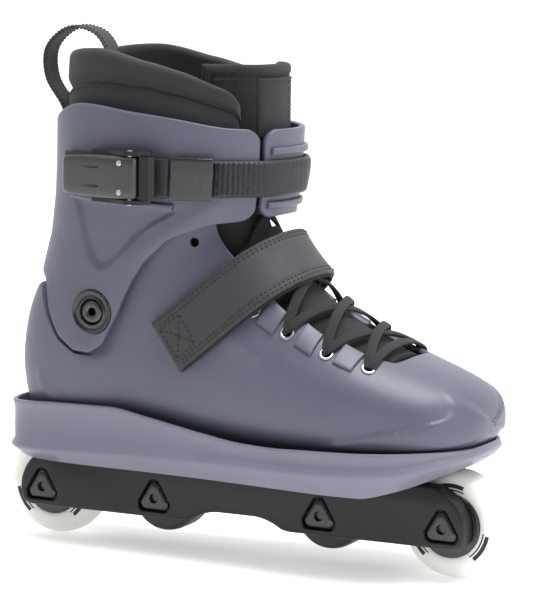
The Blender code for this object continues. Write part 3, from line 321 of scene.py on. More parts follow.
@lru_cache(maxsize=None)
def plastic(name, colour, roughness, grain=0.12, shade=0.86, coat=0.0):
    """Moulded plastic: fine grain, slow changes of tone and small changes of gloss."""
    return noisy(name, colour, shade, (34.0, 3.0), ((420.0, 5.0, 0.7), roughness - 0.05, roughness + 0.07),
                 ((2600.0, 2.0, 0.6), 0.00012, grain),
                 {"Specular IOR Level": 0.38, "Coat Weight": coat, "Coat Roughness": 0.25})


@lru_cache(maxsize=None)
def urethane(name, colour, roughness):
    """Cast wheel rubber: a dusting of wear and some light inside it."""
    dust = (900.0, 5.0, 0.7)
    return noisy(name, colour, 0.95, (60.0, 4.0), (dust, roughness - 0.06, roughness + 0.1),
                 (dust, 0.0001, 0.08), {"Subsurface Weight": 0.25, "Subsurface Scale": 0.6,
                                        "Subsurface Radius": (0.004, 0.0035, 0.003)})


@lru_cache(maxsize=None)
def metal(name, colour, roughness, brushed=0.15):
    marks = (700.0, 6.0, 0.7)
    return noisy(name, colour, 0.8, marks, (marks, roughness - 0.06, roughness + 0.1),
                 (marks, 0.0001, brushed), {"Metallic": 1.0})


def weave_height(tree, along, across):
    """Height of an over-and-under weave with threads along and across mm apart, from the mesh's flow lines."""
    flow = add(tree, "ShaderNodeAttribute", attribute_name="flow").outputs["Vector"]
    split = add(tree, "ShaderNodeSeparateXYZ")
    tree.links.new(flow, split.inputs["Vector"])
    waves = []
    for socket, pitch in (("X", along), ("Y", across)):
        scaled = add(tree, "ShaderNodeMath", operation="MULTIPLY")
        scaled.inputs[1].default_value = 2 * math.pi / pitch
        tree.links.new(split.outputs[socket], scaled.inputs[0])
        wave = add(tree, "ShaderNodeMath", operation="SINE")
        tree.links.new(scaled.outputs[0], wave.inputs[0])
        waves.append(wave.outputs[0])
    crossed = add(tree, "ShaderNodeMath", operation="MULTIPLY")
    tree.links.new(waves[0], crossed.inputs[0])
    tree.links.new(waves[1], crossed.inputs[1])
    return crossed.outputs[0]


@lru_cache(maxsize=None)
def fabric(name, colour, along, across, roughness=0.85, strength=0.5, light=1.7, sheen=0.25):
    """Cloth with threads along and across mm apart, a little fuzz and slow changes of tone."""
    made, tree, shader = shader_material(name)
    coords = object_coords(tree)
    weave = weave_height(tree, along, across)
    fuzz = noise(tree, coords, 1500.0, 4.0, 0.7)
    cloudy = noise(tree, coords, 45.0, 3.0)
    both = add(tree, "ShaderNodeMath", operation="MULTIPLY_ADD")
    tree.links.new(fuzz, both.inputs[0])
    both.inputs[1].default_value = 0.8
    tree.links.new(weave, both.inputs[2])
    tone = add(tree, "ShaderNodeMath", operation="MULTIPLY_ADD")
    tree.links.new(weave, tone.inputs[0])
    tone.inputs[1].default_value = 0.3
    tree.links.new(ramp(tree, cloudy, 0.2, 0.7), tone.inputs[2])
    tree.links.new(tint(tree, tone.outputs[0], colour, light), shader.inputs["Base Color"])
    tree.links.new(bump(tree, both.outputs[0], 0.0002, strength), shader.inputs["Normal"])
    set_inputs(shader, {"Roughness": roughness, "Specular IOR Level": 0.3, "Sheen Weight": sheen,
                        "Sheen Roughness": 0.5})
    return made


@lru_cache(maxsize=None)
def nubuck(name, colour):
    """The strap's matt synthetic leather: a short nap with soft marks."""
    marks = (150.0, 5.0, 0.65)
    return noisy(name, colour, 1.45, marks, (marks, 0.62, 0.8), ((1900.0, 3.0, 0.7), 0.00015, 0.3),
                 {"Sheen Weight": 0.08, "Sheen Roughness": 0.45})





# Each kind of finish: the function that makes its material, and what it is called with
FINISHES = {
    "boot": (plastic, "boot_plastic", (0.085, 0.09, 0.125), 0.4, 0.12, 0.93),
    "plate": (plastic, "plate_plastic", (0.155, 0.153, 0.203), 0.38, 0.12, 0.93),
    "black": (plastic, "black_plastic", (0.006, 0.006, 0.007), 0.46, 0.3, 0.8),
    "gloss": (plastic, "black_gloss", (0.013, 0.014, 0.015), 0.24, 0.05, 0.85, 0.3),
    "ladder": (plastic, "ladder_plastic", (0.02, 0.022, 0.026), 0.48, 0.15, 0.85),
    "lever": (plastic, "lever_plastic", (0.04, 0.043, 0.044), 0.2, 0.05, 0.9, 0.25),
    "white": (urethane, "white_urethane", (0.83, 0.82, 0.78), 0.34),
    "small": (urethane, "black_urethane", (0.014, 0.014, 0.015), 0.42),
    "ink": (plastic, "print_ink", (0.012, 0.012, 0.013), 0.4, 0.02),
    "steel": (metal, "steel", (0.5, 0.5, 0.51), 0.28),
    "dark_steel": (metal, "black_steel", (0.09, 0.09, 0.095), 0.36),
    "liner": (fabric, "liner_knit", (0.016, 0.017, 0.018), 0.9, 0.9, 0.88, 0.3, 1.5, 0.08),
    "mesh": (fabric, "tongue_mesh", (0.009, 0.009, 0.01), 1.6, 1.6, 0.8, 0.9, 2.4, 0.05),
    "binding": (fabric, "rim_binding", (0.014, 0.014, 0.015), 0.7, 1.2, 0.9, 0.4, 1.5, 0.05),
    "webbing": (fabric, "loop_webbing", (0.024, 0.024, 0.025), 2.2, 1.5, 0.8, 0.9, 1.9, 0.08),
    "lace": (fabric, "lace_braid", (0.009, 0.009, 0.01), 1.5, 1.1, 0.78, 0.9, 2.2, 0.05),
    "thread": (fabric, "thread", (0.014, 0.014, 0.015), 0.5, 0.5, 0.7, 0.3, 1.6, 0.05),
    "nubuck": (nubuck, "strap_nubuck", (0.02, 0.02, 0.024)),
    "patch": (fabric, "tongue_patch", (0.014, 0.014, 0.016), 0.8, 0.8, 0.75, 0.25, 1.4, 0.05),
    "foam": (fabric, "insole_foam", (0.09, 0.09, 0.1), 2.0, 2.0, 0.9, 0.3, 0.8),
}


def finish(kind):
    """The material of that kind."""
    maker, *settings = FINISHES[kind]
    return maker(*settings)


# ---------------------------------------------------------------- small mathematics
def blend_table(table, x):
    """Value at x of a table of (x, value) pairs: straight between them, eased over a step above 25."""
    if x <= table[0][0]:
        return table[0][1]
    for (x0, v0), (x1, v1) in zip(table, table[1:]):
        if x <= x1:
            t = (x - x0) / (x1 - x0)
            return v0 + (v1 - v0) * (t * t * (3 - 2 * t) if abs(v1 - v0) > 25 else t)
    return table[-1][1]


def smooth_table(table, x):
    """As blend_table, but along a smooth curve through the pairs."""
    if x <= table[0][0]:
        return table[0][1]
    if x >= table[-1][0]:
        return table[-1][1]
    i = max(k for k in range(len(table) - 1) if table[k][0] <= x)
    slopes = [(b[1] - a[1]) / (b[0] - a[0]) for a, b in zip(table, table[1:])]

    def tangent(k):
        if k == 0 or k == len(table) - 1:
            return slopes[min(k, len(slopes) - 1)]
        a, b = slopes[k - 1], slopes[k]
        return 0.0 if a * b <= 0 else 2 * a * b / (a + b)
    (x0, v0), (x1, v1) = table[i], table[i + 1]
    h = x1 - x0
    t = (x - x0) / h
    return ((1 + 2 * t) * (1 - t) ** 2 * v0 + t * (1 - t) ** 2 * h * tangent(i)
            + t * t * (3 - 2 * t) * v1 + t * t * (t - 1) * h * tangent(i + 1))


def spline(values, s):
    """Catmull-Rom value at s of a list of numbers spaced one apart."""
    i = min(int(s), len(values) - 2)
    t = s - i
    b, c = values[i], values[i + 1]
    a = values[i - 1] if i > 0 else 2 * b - c
    d = values[i + 2] if i + 2 < len(values) else 2 * c - b
    return b + 0.5 * t * (c - a + t * (2 * a - 5 * b + 4 * c - d + t * (3 * (b - c) + d - a)))


def power(value, exponent):
    return math.copysign(abs(value) ** exponent, value)


def clamp(value):
    return min(1.0, max(0.0, value))


def step(value):
    """0 below 0, 1 above 1, and smooth between."""
    t = clamp(value)
    return t * t * (3 - 2 * t)


def spread(low, high, count):
    return [low + (high - low) * k / (count - 1) for k in range(count)]


def smooth_route(control, per_span):
    """Points along an open Catmull-Rom curve through control points."""
    columns = list(zip(*control))
    count = per_span * (len(control) - 1)
    return [Vector([spline(column, (len(control) - 1) * k / count) for column in columns])
            for k in range(count + 1)]


# ---------------------------------------------------------------- mesh helpers
def build(name, points, faces, kind=None, body="chassis", replaces=(), flow=None):
    """A mesh object from points in millimetres. With no kind it is a helper that isn't kept."""
    mesh = bpy.data.meshes.new(name)
    mesh.from_pydata([Vector(p) * MM for p in points], [], faces)
    if flow is not None:
        layer = mesh.attributes.new("flow", "FLOAT_VECTOR", "POINT")
        layer.data.foreach_set("vector", [c for f in flow for c in (f[0], f[1], 0.0)])
    bm = bmesh.new()
    bm.from_mesh(mesh)
    bmesh.ops.remove_doubles(bm, verts=bm.verts, dist=0.004 * MM)
    bmesh.ops.dissolve_degenerate(bm, edges=bm.edges, dist=0.001 * MM)
    bmesh.ops.recalc_face_normals(bm, faces=bm.faces)
    if bm.calc_volume(signed=True) < 0:
        bmesh.ops.reverse_faces(bm, faces=bm.faces)
    bm.to_mesh(mesh)
    bm.free()
    mesh.shade_smooth()
    mesh.set_sharp_from_angle(angle=SHARP_ANGLE)
    obj = bpy.data.objects.new(name, mesh)
    bpy.context.scene.collection.objects.link(obj)
    if kind:
        mesh.materials.append(finish(kind))
        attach(obj, body)
        if replaces:
            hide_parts(*replaces)
    return obj


def apply(obj):
    """The modifiers of obj made real."""
    graph = bpy.context.evaluated_depsgraph_get()
    made = bpy.data.meshes.new_from_object(obj.evaluated_get(graph), depsgraph=graph)
    made.shade_smooth()
    made.set_sharp_from_angle(angle=SHARP_ANGLE)
    obj.modifiers.clear()
    obj.data = made
    return obj


def cut(target, cutters, operation="DIFFERENCE"):
    """The cutters taken from target, or joined to it, and then removed."""
    for cutter in cutters:
        modifier = target.modifiers.new("cut", "BOOLEAN")
        modifier.operation = operation
        modifier.solver = "EXACT"
        modifier.object = cutter
    apply(target)
    for cutter in cutters:
        bpy.data.objects.remove(cutter)
    return target


def loft(rings, cap=True):
    n = len(rings[0])
    points = [p for ring in rings for p in ring]
    faces = []
    for r in range(len(rings) - 1):
        for i in range(n):
            j = (i + 1) % n
            faces.append((r * n + i, r * n + j, (r + 1) * n + j, (r + 1) * n + i))
    if cap:
        faces.append(tuple(range(n))[::-1])
        faces.append(tuple((len(rings) - 1) * n + i for i in range(n)))
    return points, faces


def thick_sheet(outer, inner):
    """A solid between two equal grids of points, closed along all four edges."""
    rows, cols = len(outer), len(outer[0])
    points = [p for row in outer for p in row] + [p for row in inner for p in row]
    base = rows * cols
    faces = []
    for r in range(rows - 1):
        for c in range(cols - 1):
            a, b, d, e = r * cols + c, r * cols + c + 1, (r + 1) * cols + c + 1, (r + 1) * cols + c
            faces.append((a, b, d, e))
            faces.append((base + e, base + d, base + b, base + a))
    rim = list(range(cols)) + [r * cols + cols - 1 for r in range(1, rows)]
    rim += [(rows - 1) * cols + c for c in range(cols - 2, -1, -1)]
    rim += [r * cols for r in range(rows - 2, 0, -1)]
    for a, b in zip(rim, rim[1:] + rim[:1]):
        faces.append((b, a, base + a, base + b))
    return points, faces


def grid_flow(outer):
    """Distances in millimetres along and across a grid of points, once for each of its two sides."""
    flow = []
    for row in outer:
        travelled = 0.0
        for c, place in enumerate(row):
            if c:
                travelled += (Vector(place) - Vector(row[c - 1])).length
            height = (Vector(place) - Vector(outer[0][c])).length
            flow.append((travelled, height))
    return flow + flow


def turned(name, profile, centre, steps=64, axis="Y", **facts):
    """A closed profile of (radius, distance along the axis) turned round an axis through centre."""
    solid = profile[0][0] == 0
    ring_profile = profile[1:-1] if solid else profile
    points, n = [], len(ring_profile)
    for k in range(steps):
        a = 2 * math.pi * k / steps
        for r, h in ring_profile:
            u, v = r * math.cos(a), r * math.sin(a)
            offset = {"Y": (u, h, v), "Z": (u, v, h)}[axis]
            points.append([centre[i] + offset[i] for i in range(3)])
    faces = []
    last = n - 1 if solid else n
    for k in range(steps):
        m = (k + 1) % steps
        for i in range(last):
            j = (i + 1) % n
            faces.append((k * n + i, k * n + j, m * n + j, m * n + i))
    if solid:
        faces.append([k * n for k in range(steps)])
        faces.append([k * n + n - 1 for k in range(steps)])
    return build(name, points, faces, **facts)


def rounded(profile, radius, steps=3):
    """A profile with each of its corners cut back by radius and rounded."""
    result = []
    n = len(profile)
    for i, corner in enumerate(profile):
        here, before, after = Vector(corner), Vector(profile[i - 1]), Vector(profile[(i + 1) % n])
        reach = min(radius, 0.45 * (before - here).length, 0.45 * (after - here).length)
        start = here + (before - here).normalized() * reach
        end = here + (after - here).normalized() * reach
        for k in range(steps + 1):
            t = k / steps
            result.append(tuple(start.lerp(here, t).lerp(here.lerp(end, t), t)))
    return result


def rod(centre, radius, low, high, steps=32, axis="Y"):
    """A round helper along an axis through centre, for cutting a bore."""
    return turned("cut_rod", [(0, low), (radius, low), (radius, high), (0, high)], centre, steps, axis)


def box(name, low, high):
    points = [(x, y, z) for x in (low[0], high[0]) for y in (low[1], high[1]) for z in (low[2], high[2])]
    faces = [(0, 1, 3, 2), (4, 6, 7, 5), (0, 4, 5, 1), (2, 3, 7, 6), (0, 2, 6, 4), (1, 5, 7, 3)]
    return build(name, points, faces)


def frames_along(route, ups):
    """For each point of a route, the point, its side and its up, from a rough up."""
    result = []
    for k, place in enumerate(route):
        along = (route[min(k + 1, len(route) - 1)] - route[max(k - 1, 0)]).normalized()
        side = along.cross(ups[k]).normalized()
        result.append((place, side, side.cross(along)))
    return result


def ribbon(name, route, ups, widths, thickness, kind, body, replaces=(), corners=10, bow=0.0):
    """A flat woven band along a route, with a rounded cross-section."""
    rings, flow, travelled = [], [], 0.0
    for k, (place, side, up) in enumerate(frames_along(route, ups)):
        if k:
            travelled += (place - route[k - 1]).length
        ring = []
        for i in range(2 * corners):
            a = 2 * math.pi * (i + 0.5) / (2 * corners)
            across = power(math.cos(a), 0.45) * widths[k] / 2
            height = power(math.sin(a), 0.8) * thickness / 2 + bow * (1 - (2 * across / widths[k]) ** 2)
            ring.append(place + side * across + up * height)
            flow.append((travelled, across))
        rings.append(ring)
    points, faces = loft(rings)
    return build(name, points, faces, kind, body, replaces, flow)


def stitches(name, lines, body, pitch=2.9, length=2.0, radius=0.36, kind="thread"):
    """Rows of thread stitches: each line is a list of (point, normal) pairs that the row follows."""
    points, faces, flow = [], [], []
    ring_steps, sections = 6, 5
    for line in lines:
        places = [Vector(p) for p, _ in line]
        distances = [0.0]
        for a, b in zip(places, places[1:]):
            distances.append(distances[-1] + (b - a).length)
        count = max(1, int(distances[-1] / pitch))
        for k in range(count):
            start = (k + 0.5) * distances[-1] / count - length / 2
            samples = []
            for q in range(sections):
                d = min(distances[-1], max(0.0, start + length * q / (sections - 1)))
                i = max(j for j in range(len(distances)) if distances[j] <= d + 1e-9)
                i = min(i, len(places) - 2)
                t = (d - distances[i]) / max(1e-6, distances[i + 1] - distances[i])
                normal = Vector(line[i][1]).lerp(Vector(line[i + 1][1]), t).normalized()
                rise = math.sin(math.pi * q / (sections - 1))
                samples.append((places[i].lerp(places[i + 1], t) + normal * (radius * (1.1 * rise - 0.45)),
                                normal, 0.35 + 0.65 * rise))
            base = len(points)
            along = (samples[-1][0] - samples[0][0]).normalized()
            for q, (place, normal, size) in enumerate(samples):
                side = along.cross(normal).normalized()
                for j in range(ring_steps):
                    a = 2 * math.pi * j / ring_steps
                    points.append(place + (side * math.cos(a) + normal * math.sin(a)) * radius * size)
                    flow.append((q * 0.5, j * 0.2))
            for q in range(sections - 1):
                for j in range(ring_steps):
                    m = (j + 1) % ring_steps
                    faces.append((base + q * ring_steps + j, base + q * ring_steps + m,
                                  base + (q + 1) * ring_steps + m, base + (q + 1) * ring_steps + j))
            faces.append([base + j for j in range(ring_steps)][::-1])
            faces.append([base + (sections - 1) * ring_steps + j for j in range(ring_steps)])
    return build(name, points, faces, kind, body, (), flow)


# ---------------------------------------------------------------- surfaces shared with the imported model
def rounded_triangle(size, steps=4):
    """A triangle with bulging sides and round corners, one corner up, as (x, z) points."""
    outline = []
    for corner in range(3):
        a = math.radians(90 + 120 * corner)
        cx, cz = 0.62 * size * math.cos(a), 0.62 * size * math.sin(a)
        for k in range(steps):
            b = a + math.radians(-50 + 100 * k / (steps - 1))
            outline.append((cx + 0.38 * size * math.cos(b), cz + 0.38 * size * math.sin(b)))
    return outline


def heel_bulge(x, z):
    """How much the heel stands out below the rear edge of the cuff."""
    edge = blend_table(CUFF_LOWER_EDGE, x)
    below = clamp((edge + 2.0 - z) / 4.0)
    ahead = clamp((-62.0 - x) / 30.0)
    return HEEL_BULGE * below * ahead * ahead * (3 - 2 * ahead)


def cuff_level(z):
    """Back x, front x and half-width of the cuff at height z."""
    return [blend_table([(level[0], level[k]) for level in CUFF_LEVELS], z) for k in (1, 2, 3)]


def cuff_point(angle, z, inset=0.0):
    """A point of the cuff at an angle round it; 0 is the front, 90 the outer side, 180 the back."""
    back, front, half = cuff_level(z)
    half -= inset
    reach = (front - back) / 2 - inset
    a = math.radians(angle)
    x = (front + back) / 2 + reach * power(math.cos(a), 2 / CUFF_POWER)
    return Vector((x, -half * power(math.sin(a), 2 / CUFF_POWER), z))


def tuck(x, y, z, offset):
    """x and y moved inwards where the cuff covers the boot body, so that the cuff clears it all round."""
    edge = blend_table(CUFF_LOWER_EDGE, x)
    weight = clamp((z - edge + (3.0 if offset > -2.0 else 16.0)) / 4.0)
    back, front, half = cuff_level(z)
    inset = CUFF_WALL + CUFF_CLEARANCE - offset
    middle, reach = (front + back) / 2, (front - back) / 2 - inset
    out = (abs((x - middle) / reach) ** CUFF_POWER + abs(y / (half - inset)) ** CUFF_POWER) ** (1 / CUFF_POWER)
    if x > middle or out <= 1.0 or weight == 0.0:
        return x, y
    share = 1 + (1 / out - 1) * weight
    return middle + (x - middle) * share, y * share


def throat_half_angle(s):
    """Half the opening for the tongue and laces, as an angle from the instep line, at station s."""
    first, angle = THROAT_EDGE[0]
    if s <= THROAT_START:
        return 0.0
    if s < first:
        grown = (s - THROAT_START) / (first - THROAT_START)
        return angle * math.sqrt(1 - (1 - grown) ** 2)
    return blend_table(THROAT_EDGE, s)


def closed_outline(control, count):
    """Points evenly numbered along a smooth closed curve through control points."""
    n, result = len(control), []
    for k in range(count):
        s = n * k / count
        i, t = int(s), s - int(s)
        a, b, c, d = (Vector(control[(i + j - 1) % n]) for j in range(4))
        result.append(b + 0.5 * t * (c - a + t * (2 * a - 5 * b + 4 * c - d + t * (3 * (b - c) + d - a))))
    return result


def offset_outline(outline, distance):
    """The outline moved outwards by distance; it runs from the heel along the outer side first."""
    n, moved = len(outline), []
    for i, p in enumerate(outline):
        along = (outline[(i + 1) % n] - outline[i - 1]).normalized()
        moved.append(p + Vector((-along.y, along.x)) * -distance)
    return moved


def strip_cap(first, n):
    """Faces across a ring that runs from the heel along one side and back along the other."""
    faces = [(first, first + 1, first + n - 1), (first + n // 2 - 1, first + n // 2, first + n // 2 + 1)]
    for i in range(1, n // 2 - 1):
        a, b, c, d = first + i, first + i + 1, first + n - i - 1, first + n - i
        faces += [(a, b, c), (a, c, d)]
    return faces


def liner_top(angle):
    """Height of the collar's upper edge round the leg; angle 0 is the front."""
    folded = abs((angle + 180) % 360 - 180)
    return smooth_table(((0.0, 262.0), (40.0, 262.0), (75.0, 272.0), (120.0, 283.0), (150.0, 281.0),
                         (180.0, 274.0)), folded)


def strap_lift(angle):
    """Height of the strap's underside above the boot: higher over the instep, where the laces lie under it."""
    return 1.4 + 3.3 * math.exp(-((angle - 90) / 66) ** 4)


def cuff_edges(angle):
    """Lower and upper z of the cuff at an angle."""
    side = cuff_point(angle, 160.0)
    folded = abs((angle + 180) % 360 - 180)
    low = blend_table(CUFF_LOWER_EDGE, side.x)
    high = smooth_table(CUFF_UPPER_EDGE, folded)
    return low, high


@lru_cache(maxsize=None)
def station(s):
    """The slice of the boot body at station s: low corner, high corner, then its six other numbers."""
    low = Vector([spline([each[0][k] for each in STATIONS], s) for k in (0, 1)])
    high = Vector([spline([each[1][k] for each in STATIONS], s) for k in (0, 1)])
    return low, high, [spline([each[k] for each in STATIONS], s) for k in (2, 3, 4, 5, 6, 7)]


def boot_point(s, angle, offset=0.0, bulge=True):
    """A point of the boot body at station s; angle 0 is the outer side, 90 the instep, 270 the sole."""
    low, high, (low_half, high_half, low_power, high_power, forward, shift) = station(s)
    c, sn = math.cos(math.radians(angle)), math.sin(math.radians(angle))
    exponent = 2.0 / (high_power if sn > 0 else low_power)
    share = 0.5 + 0.5 * power(sn, exponent)
    across = power(c, exponent)
    sideways = math.sqrt(max(0.0, 1 - min(1.0, forward) ** 2))
    half = max(0.4, low_half + (high_half - low_half) * share + offset * sideways)
    along = (high - low).normalized()
    place = low.lerp(high, share) + along * power(sn, exponent) * offset * sideways
    place.x += offset * forward
    y = shift - half * across
    if bulge and sn < 0.95:
        extra = heel_bulge(place.x, place.y)
        if extra > 0:
            reach = math.hypot(across, max(0.0, -sn)) or 1.0
            y -= extra * across / reach
            back = max(0.0, -power(sn, exponent)) / reach
            if place.y > SHELL_SOLE_Z + 6:
                place.x -= extra * back
    x, y = tuck(place.x, y, place.y, offset)
    return Vector((x, y, place.y))


def folded_angle(angle):
    """The angle brought to the outer side, -90 at the sole and 90 at the instep."""
    angle = (angle + 90) % 360 - 90
    return angle if angle <= 90 else 180 - angle


def boot_relief(s, angle):
    """How far the boot's moulded details stand out: the toe cap, and the soft creases on its sides."""
    a = folded_angle(angle)
    ends = step((a + 42) / 16) * (1 - step((a - 30) / 24))
    cap = 1.5 * ends * step((smooth_table(TOE_CREASE, a) - s) / 0.42 + 0.5)
    side = 0.8 * math.exp(-((a - 9.5) / 4.5) ** 2) * step((s - 7.8) / 0.5) * (1 - step((s - 9.2) / 0.5))
    heel = 0.7 * math.exp(-((a + 41) / 4.0) ** 2) * step((s - 11.3) / 0.5) * (1 - step((s - 12.4) / 0.4))
    return cap + side + heel


@lru_cache(maxsize=None)
def boot_tree():
    points, faces = loft([[boot_point(s, 360.0 * k / 120) for k in range(120)]
                          for s in spread(0.0, LAST_STATION, 110)])
    return BVHTree.FromPolygons(points, faces)


def boot_place(s, angle, lift):
    """A point lift above the boot and the direction that faces out there."""
    low, high = boot_point(s, angle, 0.0, False), boot_point(s, angle, 1.0, False)
    before, after = boot_point(s - 0.03, angle, 0.0, False), boot_point(s + 0.03, angle, 0.0, False)
    left, right = boot_point(s, angle - 1, 0.0, False), boot_point(s, angle + 1, 0.0, False)
    normal = (after - before).cross(right - left).normalized()
    if normal.dot(high - low) < 0:
        normal = -normal
    return low + normal * lift, normal


@lru_cache(maxsize=None)
def strap_place(angle, along):
    slope = Vector((math.cos(STRAP_SLOPE), 0, math.sin(STRAP_SLOPE)))
    across = Vector((math.sin(STRAP_SLOPE), 0, -math.cos(STRAP_SLOPE)))
    centre = Vector((STRAP_CENTRE[0], 0, STRAP_CENTRE[1])) + across * along
    a = math.radians(angle)
    direction = slope * math.sin(a) + Vector((0, -math.cos(a), 0))
    place, normal, _, _ = boot_tree().ray_cast(centre + direction * 120, -direction)
    return place, normal if normal.dot(direction) > 0 else -normal


def strap_surface(angle, along, lift):
    place, normal = strap_place(angle, along)
    return place + normal * (strap_lift(angle) + lift)


@lru_cache(maxsize=None)
def pocket_outline():
    return [cuff_point(a, z) for a, z in POCKET]


def pocket_depth(place):
    """How deep the recess below the buckle is at a place on the cuff's outer side."""
    if place.y > -20:
        return 0.0
    nearest, inside = 1e9, False
    points = pocket_outline()
    for a, b in zip(points, points[1:] + points[:1]):
        ax, az, bx, bz = a.x, a.z, b.x, b.z
        t = ((place.x - ax) * (bx - ax) + (place.z - az) * (bz - az)) / ((bx - ax) ** 2 + (bz - az) ** 2)
        t = min(1.0, max(0.0, t))
        nearest = min(nearest, math.hypot(place.x - ax - t * (bx - ax), place.z - az - t * (bz - az)))
        if (az > place.z) != (bz > place.z) and place.x < ax + (place.z - az) * (bx - ax) / (bz - az):
            inside = not inside
    return 1.5 * step(nearest / 2.4) if inside else 0.0


def cuff_surface(angle, z, lift):
    """The outside of the cuff with its moulded recess, moved out by lift."""
    place = cuff_point(angle, z)
    ridge_line = PIVOT_Z + 16.0 + 0.62 * (place.x - PIVOT_X)
    ridge = (0.9 * math.exp(-((z - ridge_line) / 6.5) ** 2)
             * step((place.x + 66) / 16) * (1 - step((place.x + 8) / 16)))
    return cuff_point(angle, z, -lift + pocket_depth(place) - ridge)


# ---------------------------------------------------------------- rounded sheets
def rim_spread(low, high, count, radius, unit):
    """(value, drop) pairs from low to high whose ends are rounded; unit is millimetres per unit of value."""
    sign = 1 if high > low else -1
    reach = sign * radius / unit
    ends = [(radius / unit * (1 - math.cos(math.radians(t))) * sign,
             radius * (1 - math.sin(math.radians(t))))
            for t in (0, 22.5, 45, 67.5)]
    middle = [(v, 0.0) for v in spread(low + reach, high - reach, count)]
    return [(low + v, d) for v, d in ends] + middle + [(high - v, d) for v, d in reversed(ends)]


def sheet(name, surface, us, vs, low, high, kind, body, replaces=(), puff=None):
    """A sheet between two lifts of surface(u, v, lift), with rounded edges."""
    outer, inner = [], []
    for v, drop_v in vs:
        outer.append([surface(u, v, high - max(drop_u, drop_v) + (puff(u, v) if puff else 0.0))
                      for u, drop_u in us])
        inner.append([surface(u, v, low + max(drop_u, drop_v)) for u, drop_u in us])
    points, faces = thick_sheet(outer, inner)
    return build(name, points, faces, kind, body, replaces, grid_flow(outer))


def along_normal(name, place, normal, profile, kind=None, body="chassis", steps=36, **facts):
    """A closed profile of (radius, height) turned round the direction normal at place."""
    turn = Vector((0, 0, 1)).rotation_difference(normal)
    made = turned(name, profile, (0, 0, 0), steps, "Z", kind=kind, body=body, **facts)
    for vertex in made.data.vertices:
        vertex.co = (turn @ (vertex.co / MM) + place) * MM
    made.data.update()
    return made


# ---------------------------------------------------------------- the boot
def make_shell():
    stations = spread(0, 2.5, 24) + spread(2.53, THROAT_START, 84)
    stations += [THROAT_START + d for d in (0.01, 0.03, 0.06, 0.1, 0.15, 0.21)]
    stations += spread(THROAT_START + 0.24, 6.8, 44) + spread(6.9, 14.7, 60)
    radius, columns = 1.3, 184
    outer, inner = [], []
    for s in stations:
        gap = throat_half_angle(s)
        pairs = rim_spread(90 + gap, 450 - gap, columns, radius, 0.85)
        open_here = step((s - THROAT_START) / 0.15)
        outer.append([boot_point(s, a, boot_relief(s, a) - drop * open_here) for a, drop in pairs])
        inner.append([boot_point(s, a, -SHELL_WALL + drop * open_here, False) for a, drop in pairs])
    columns = len(outer[0])
    points, faces = thick_sheet(outer, inner)
    base = len(stations) * columns
    rim_first = set(range(columns)) | set(range(base, base + columns))
    closed_rows = sum(1 for s in stations if s <= THROAT_START)
    seam = set()
    for r in range(closed_rows):
        seam |= {r * columns, base + r * columns, r * columns + columns - 1,
                 base + r * columns + columns - 1}
    faces = [f for f in faces if not set(f) <= rim_first and not set(f) <= seam]
    faces.append(tuple(range(columns - 1)))
    faces.append(tuple(base + k for k in range(columns - 1))[::-1])
    shell = build("boot_body", points, faces, "boot", "chassis", ("boot_shell",))
    cutters = [rod((PIVOT_X, 0, PIVOT_Z), 3.6, -60, 60),
               box("cut_top", (-70, -60, SHELL_FLAP_TOP_Z), (60, 60, 260)), cuff_recess()]
    for side in (1, -1):
        for s, a, bore in [(s, a, 2.9) for s, a in EYELETS] + [(12.35, 31.5, 2.6)]:
            place, normal = boot_place(s, a if side > 0 else 180 - a, 0.0)
            cutters.append(along_normal("cut_hole", place, normal, [(0, -8), (bore, -8), (bore, 4), (0, 4)],
                                        steps=24))
    cut(shell, cutters)
    sheet("heel_inner_wall", lambda a, s, lift: boot_point(s, a, lift, False),
          rim_spread(215.0, 325.0, 60, 0.5, 0.8),
          rim_spread(11.5, 15.55, 50, 0.5, 18.0), -6.2, -3.9, "boot", "chassis")


def cuff_recess():
    """A helper solid, a little larger than the cuff, that cuts the step the cuff's lower edge stands over."""
    first, last = CUFF_FIRST_ANGLE, CUFF_LAST_ANGLE
    outer, inner = [], []
    for r in range(4):
        row_out, row_in = [], []
        for a in spread(first, last, 160):
            low, high = cuff_edges(a)
            z = low - HEEL_STEP_GAP + (high + 12 - low) * r / 3
            row_out.append(cuff_point(a, z, -14.0))
            row_in.append(cuff_point(a, z, CUFF_WALL + CUFF_CLEARANCE))
        outer.append(row_out)
        inner.append(row_in)
    points, faces = thick_sheet(outer, inner)
    return build("cut_recess", points, faces)


def make_boot_hardware():
    corners = (((8.56, 45.0), (7.99, 45.0), (8.10, 25.5), (8.67, 25.5)),
               ((7.42, 50.0), (6.91, 50.0), (6.97, 29.0), (7.48, 29.0)),
               ((6.35, 55.0), (5.78, 55.0), (5.89, 33.0), (6.40, 33.0)))
    for side, word in ((1, "outer"), (-1, "inner")):
        for k, (a, b, c, d) in enumerate(corners):
            def surface(u, v, lift, a=a, b=b, c=c, d=d):
                high = Vector(a).lerp(Vector(b), u)
                low = Vector(d).lerp(Vector(c), u)
                s, angle = low.lerp(high, v)
                return boot_place(s, angle if side > 0 else 180 - angle, lift)[0]
            sheet(f"lace_tab_{word}_{k}", surface, rim_spread(0.0, 1.0, 9, 0.9, 12.0),
                  rim_spread(0.0, 1.0, 11, 0.9, 17.0),
                  -1.6, 1.7, "boot", "chassis")
        for k, (s, angle) in enumerate(EYELETS):
            place, normal = boot_place(s, angle if side > 0 else 180 - angle, 0.0)
            profile = rounded([(2.3, -3.0), (2.9, -3.0), (2.9, 0.1), (4.1, 0.15), (3.9, 0.8), (3.0, 1.0),
                               (2.3, 0.5)], 0.3)
            along_normal(f"eyelet_{word}_{k}", place, normal, profile, "steel")


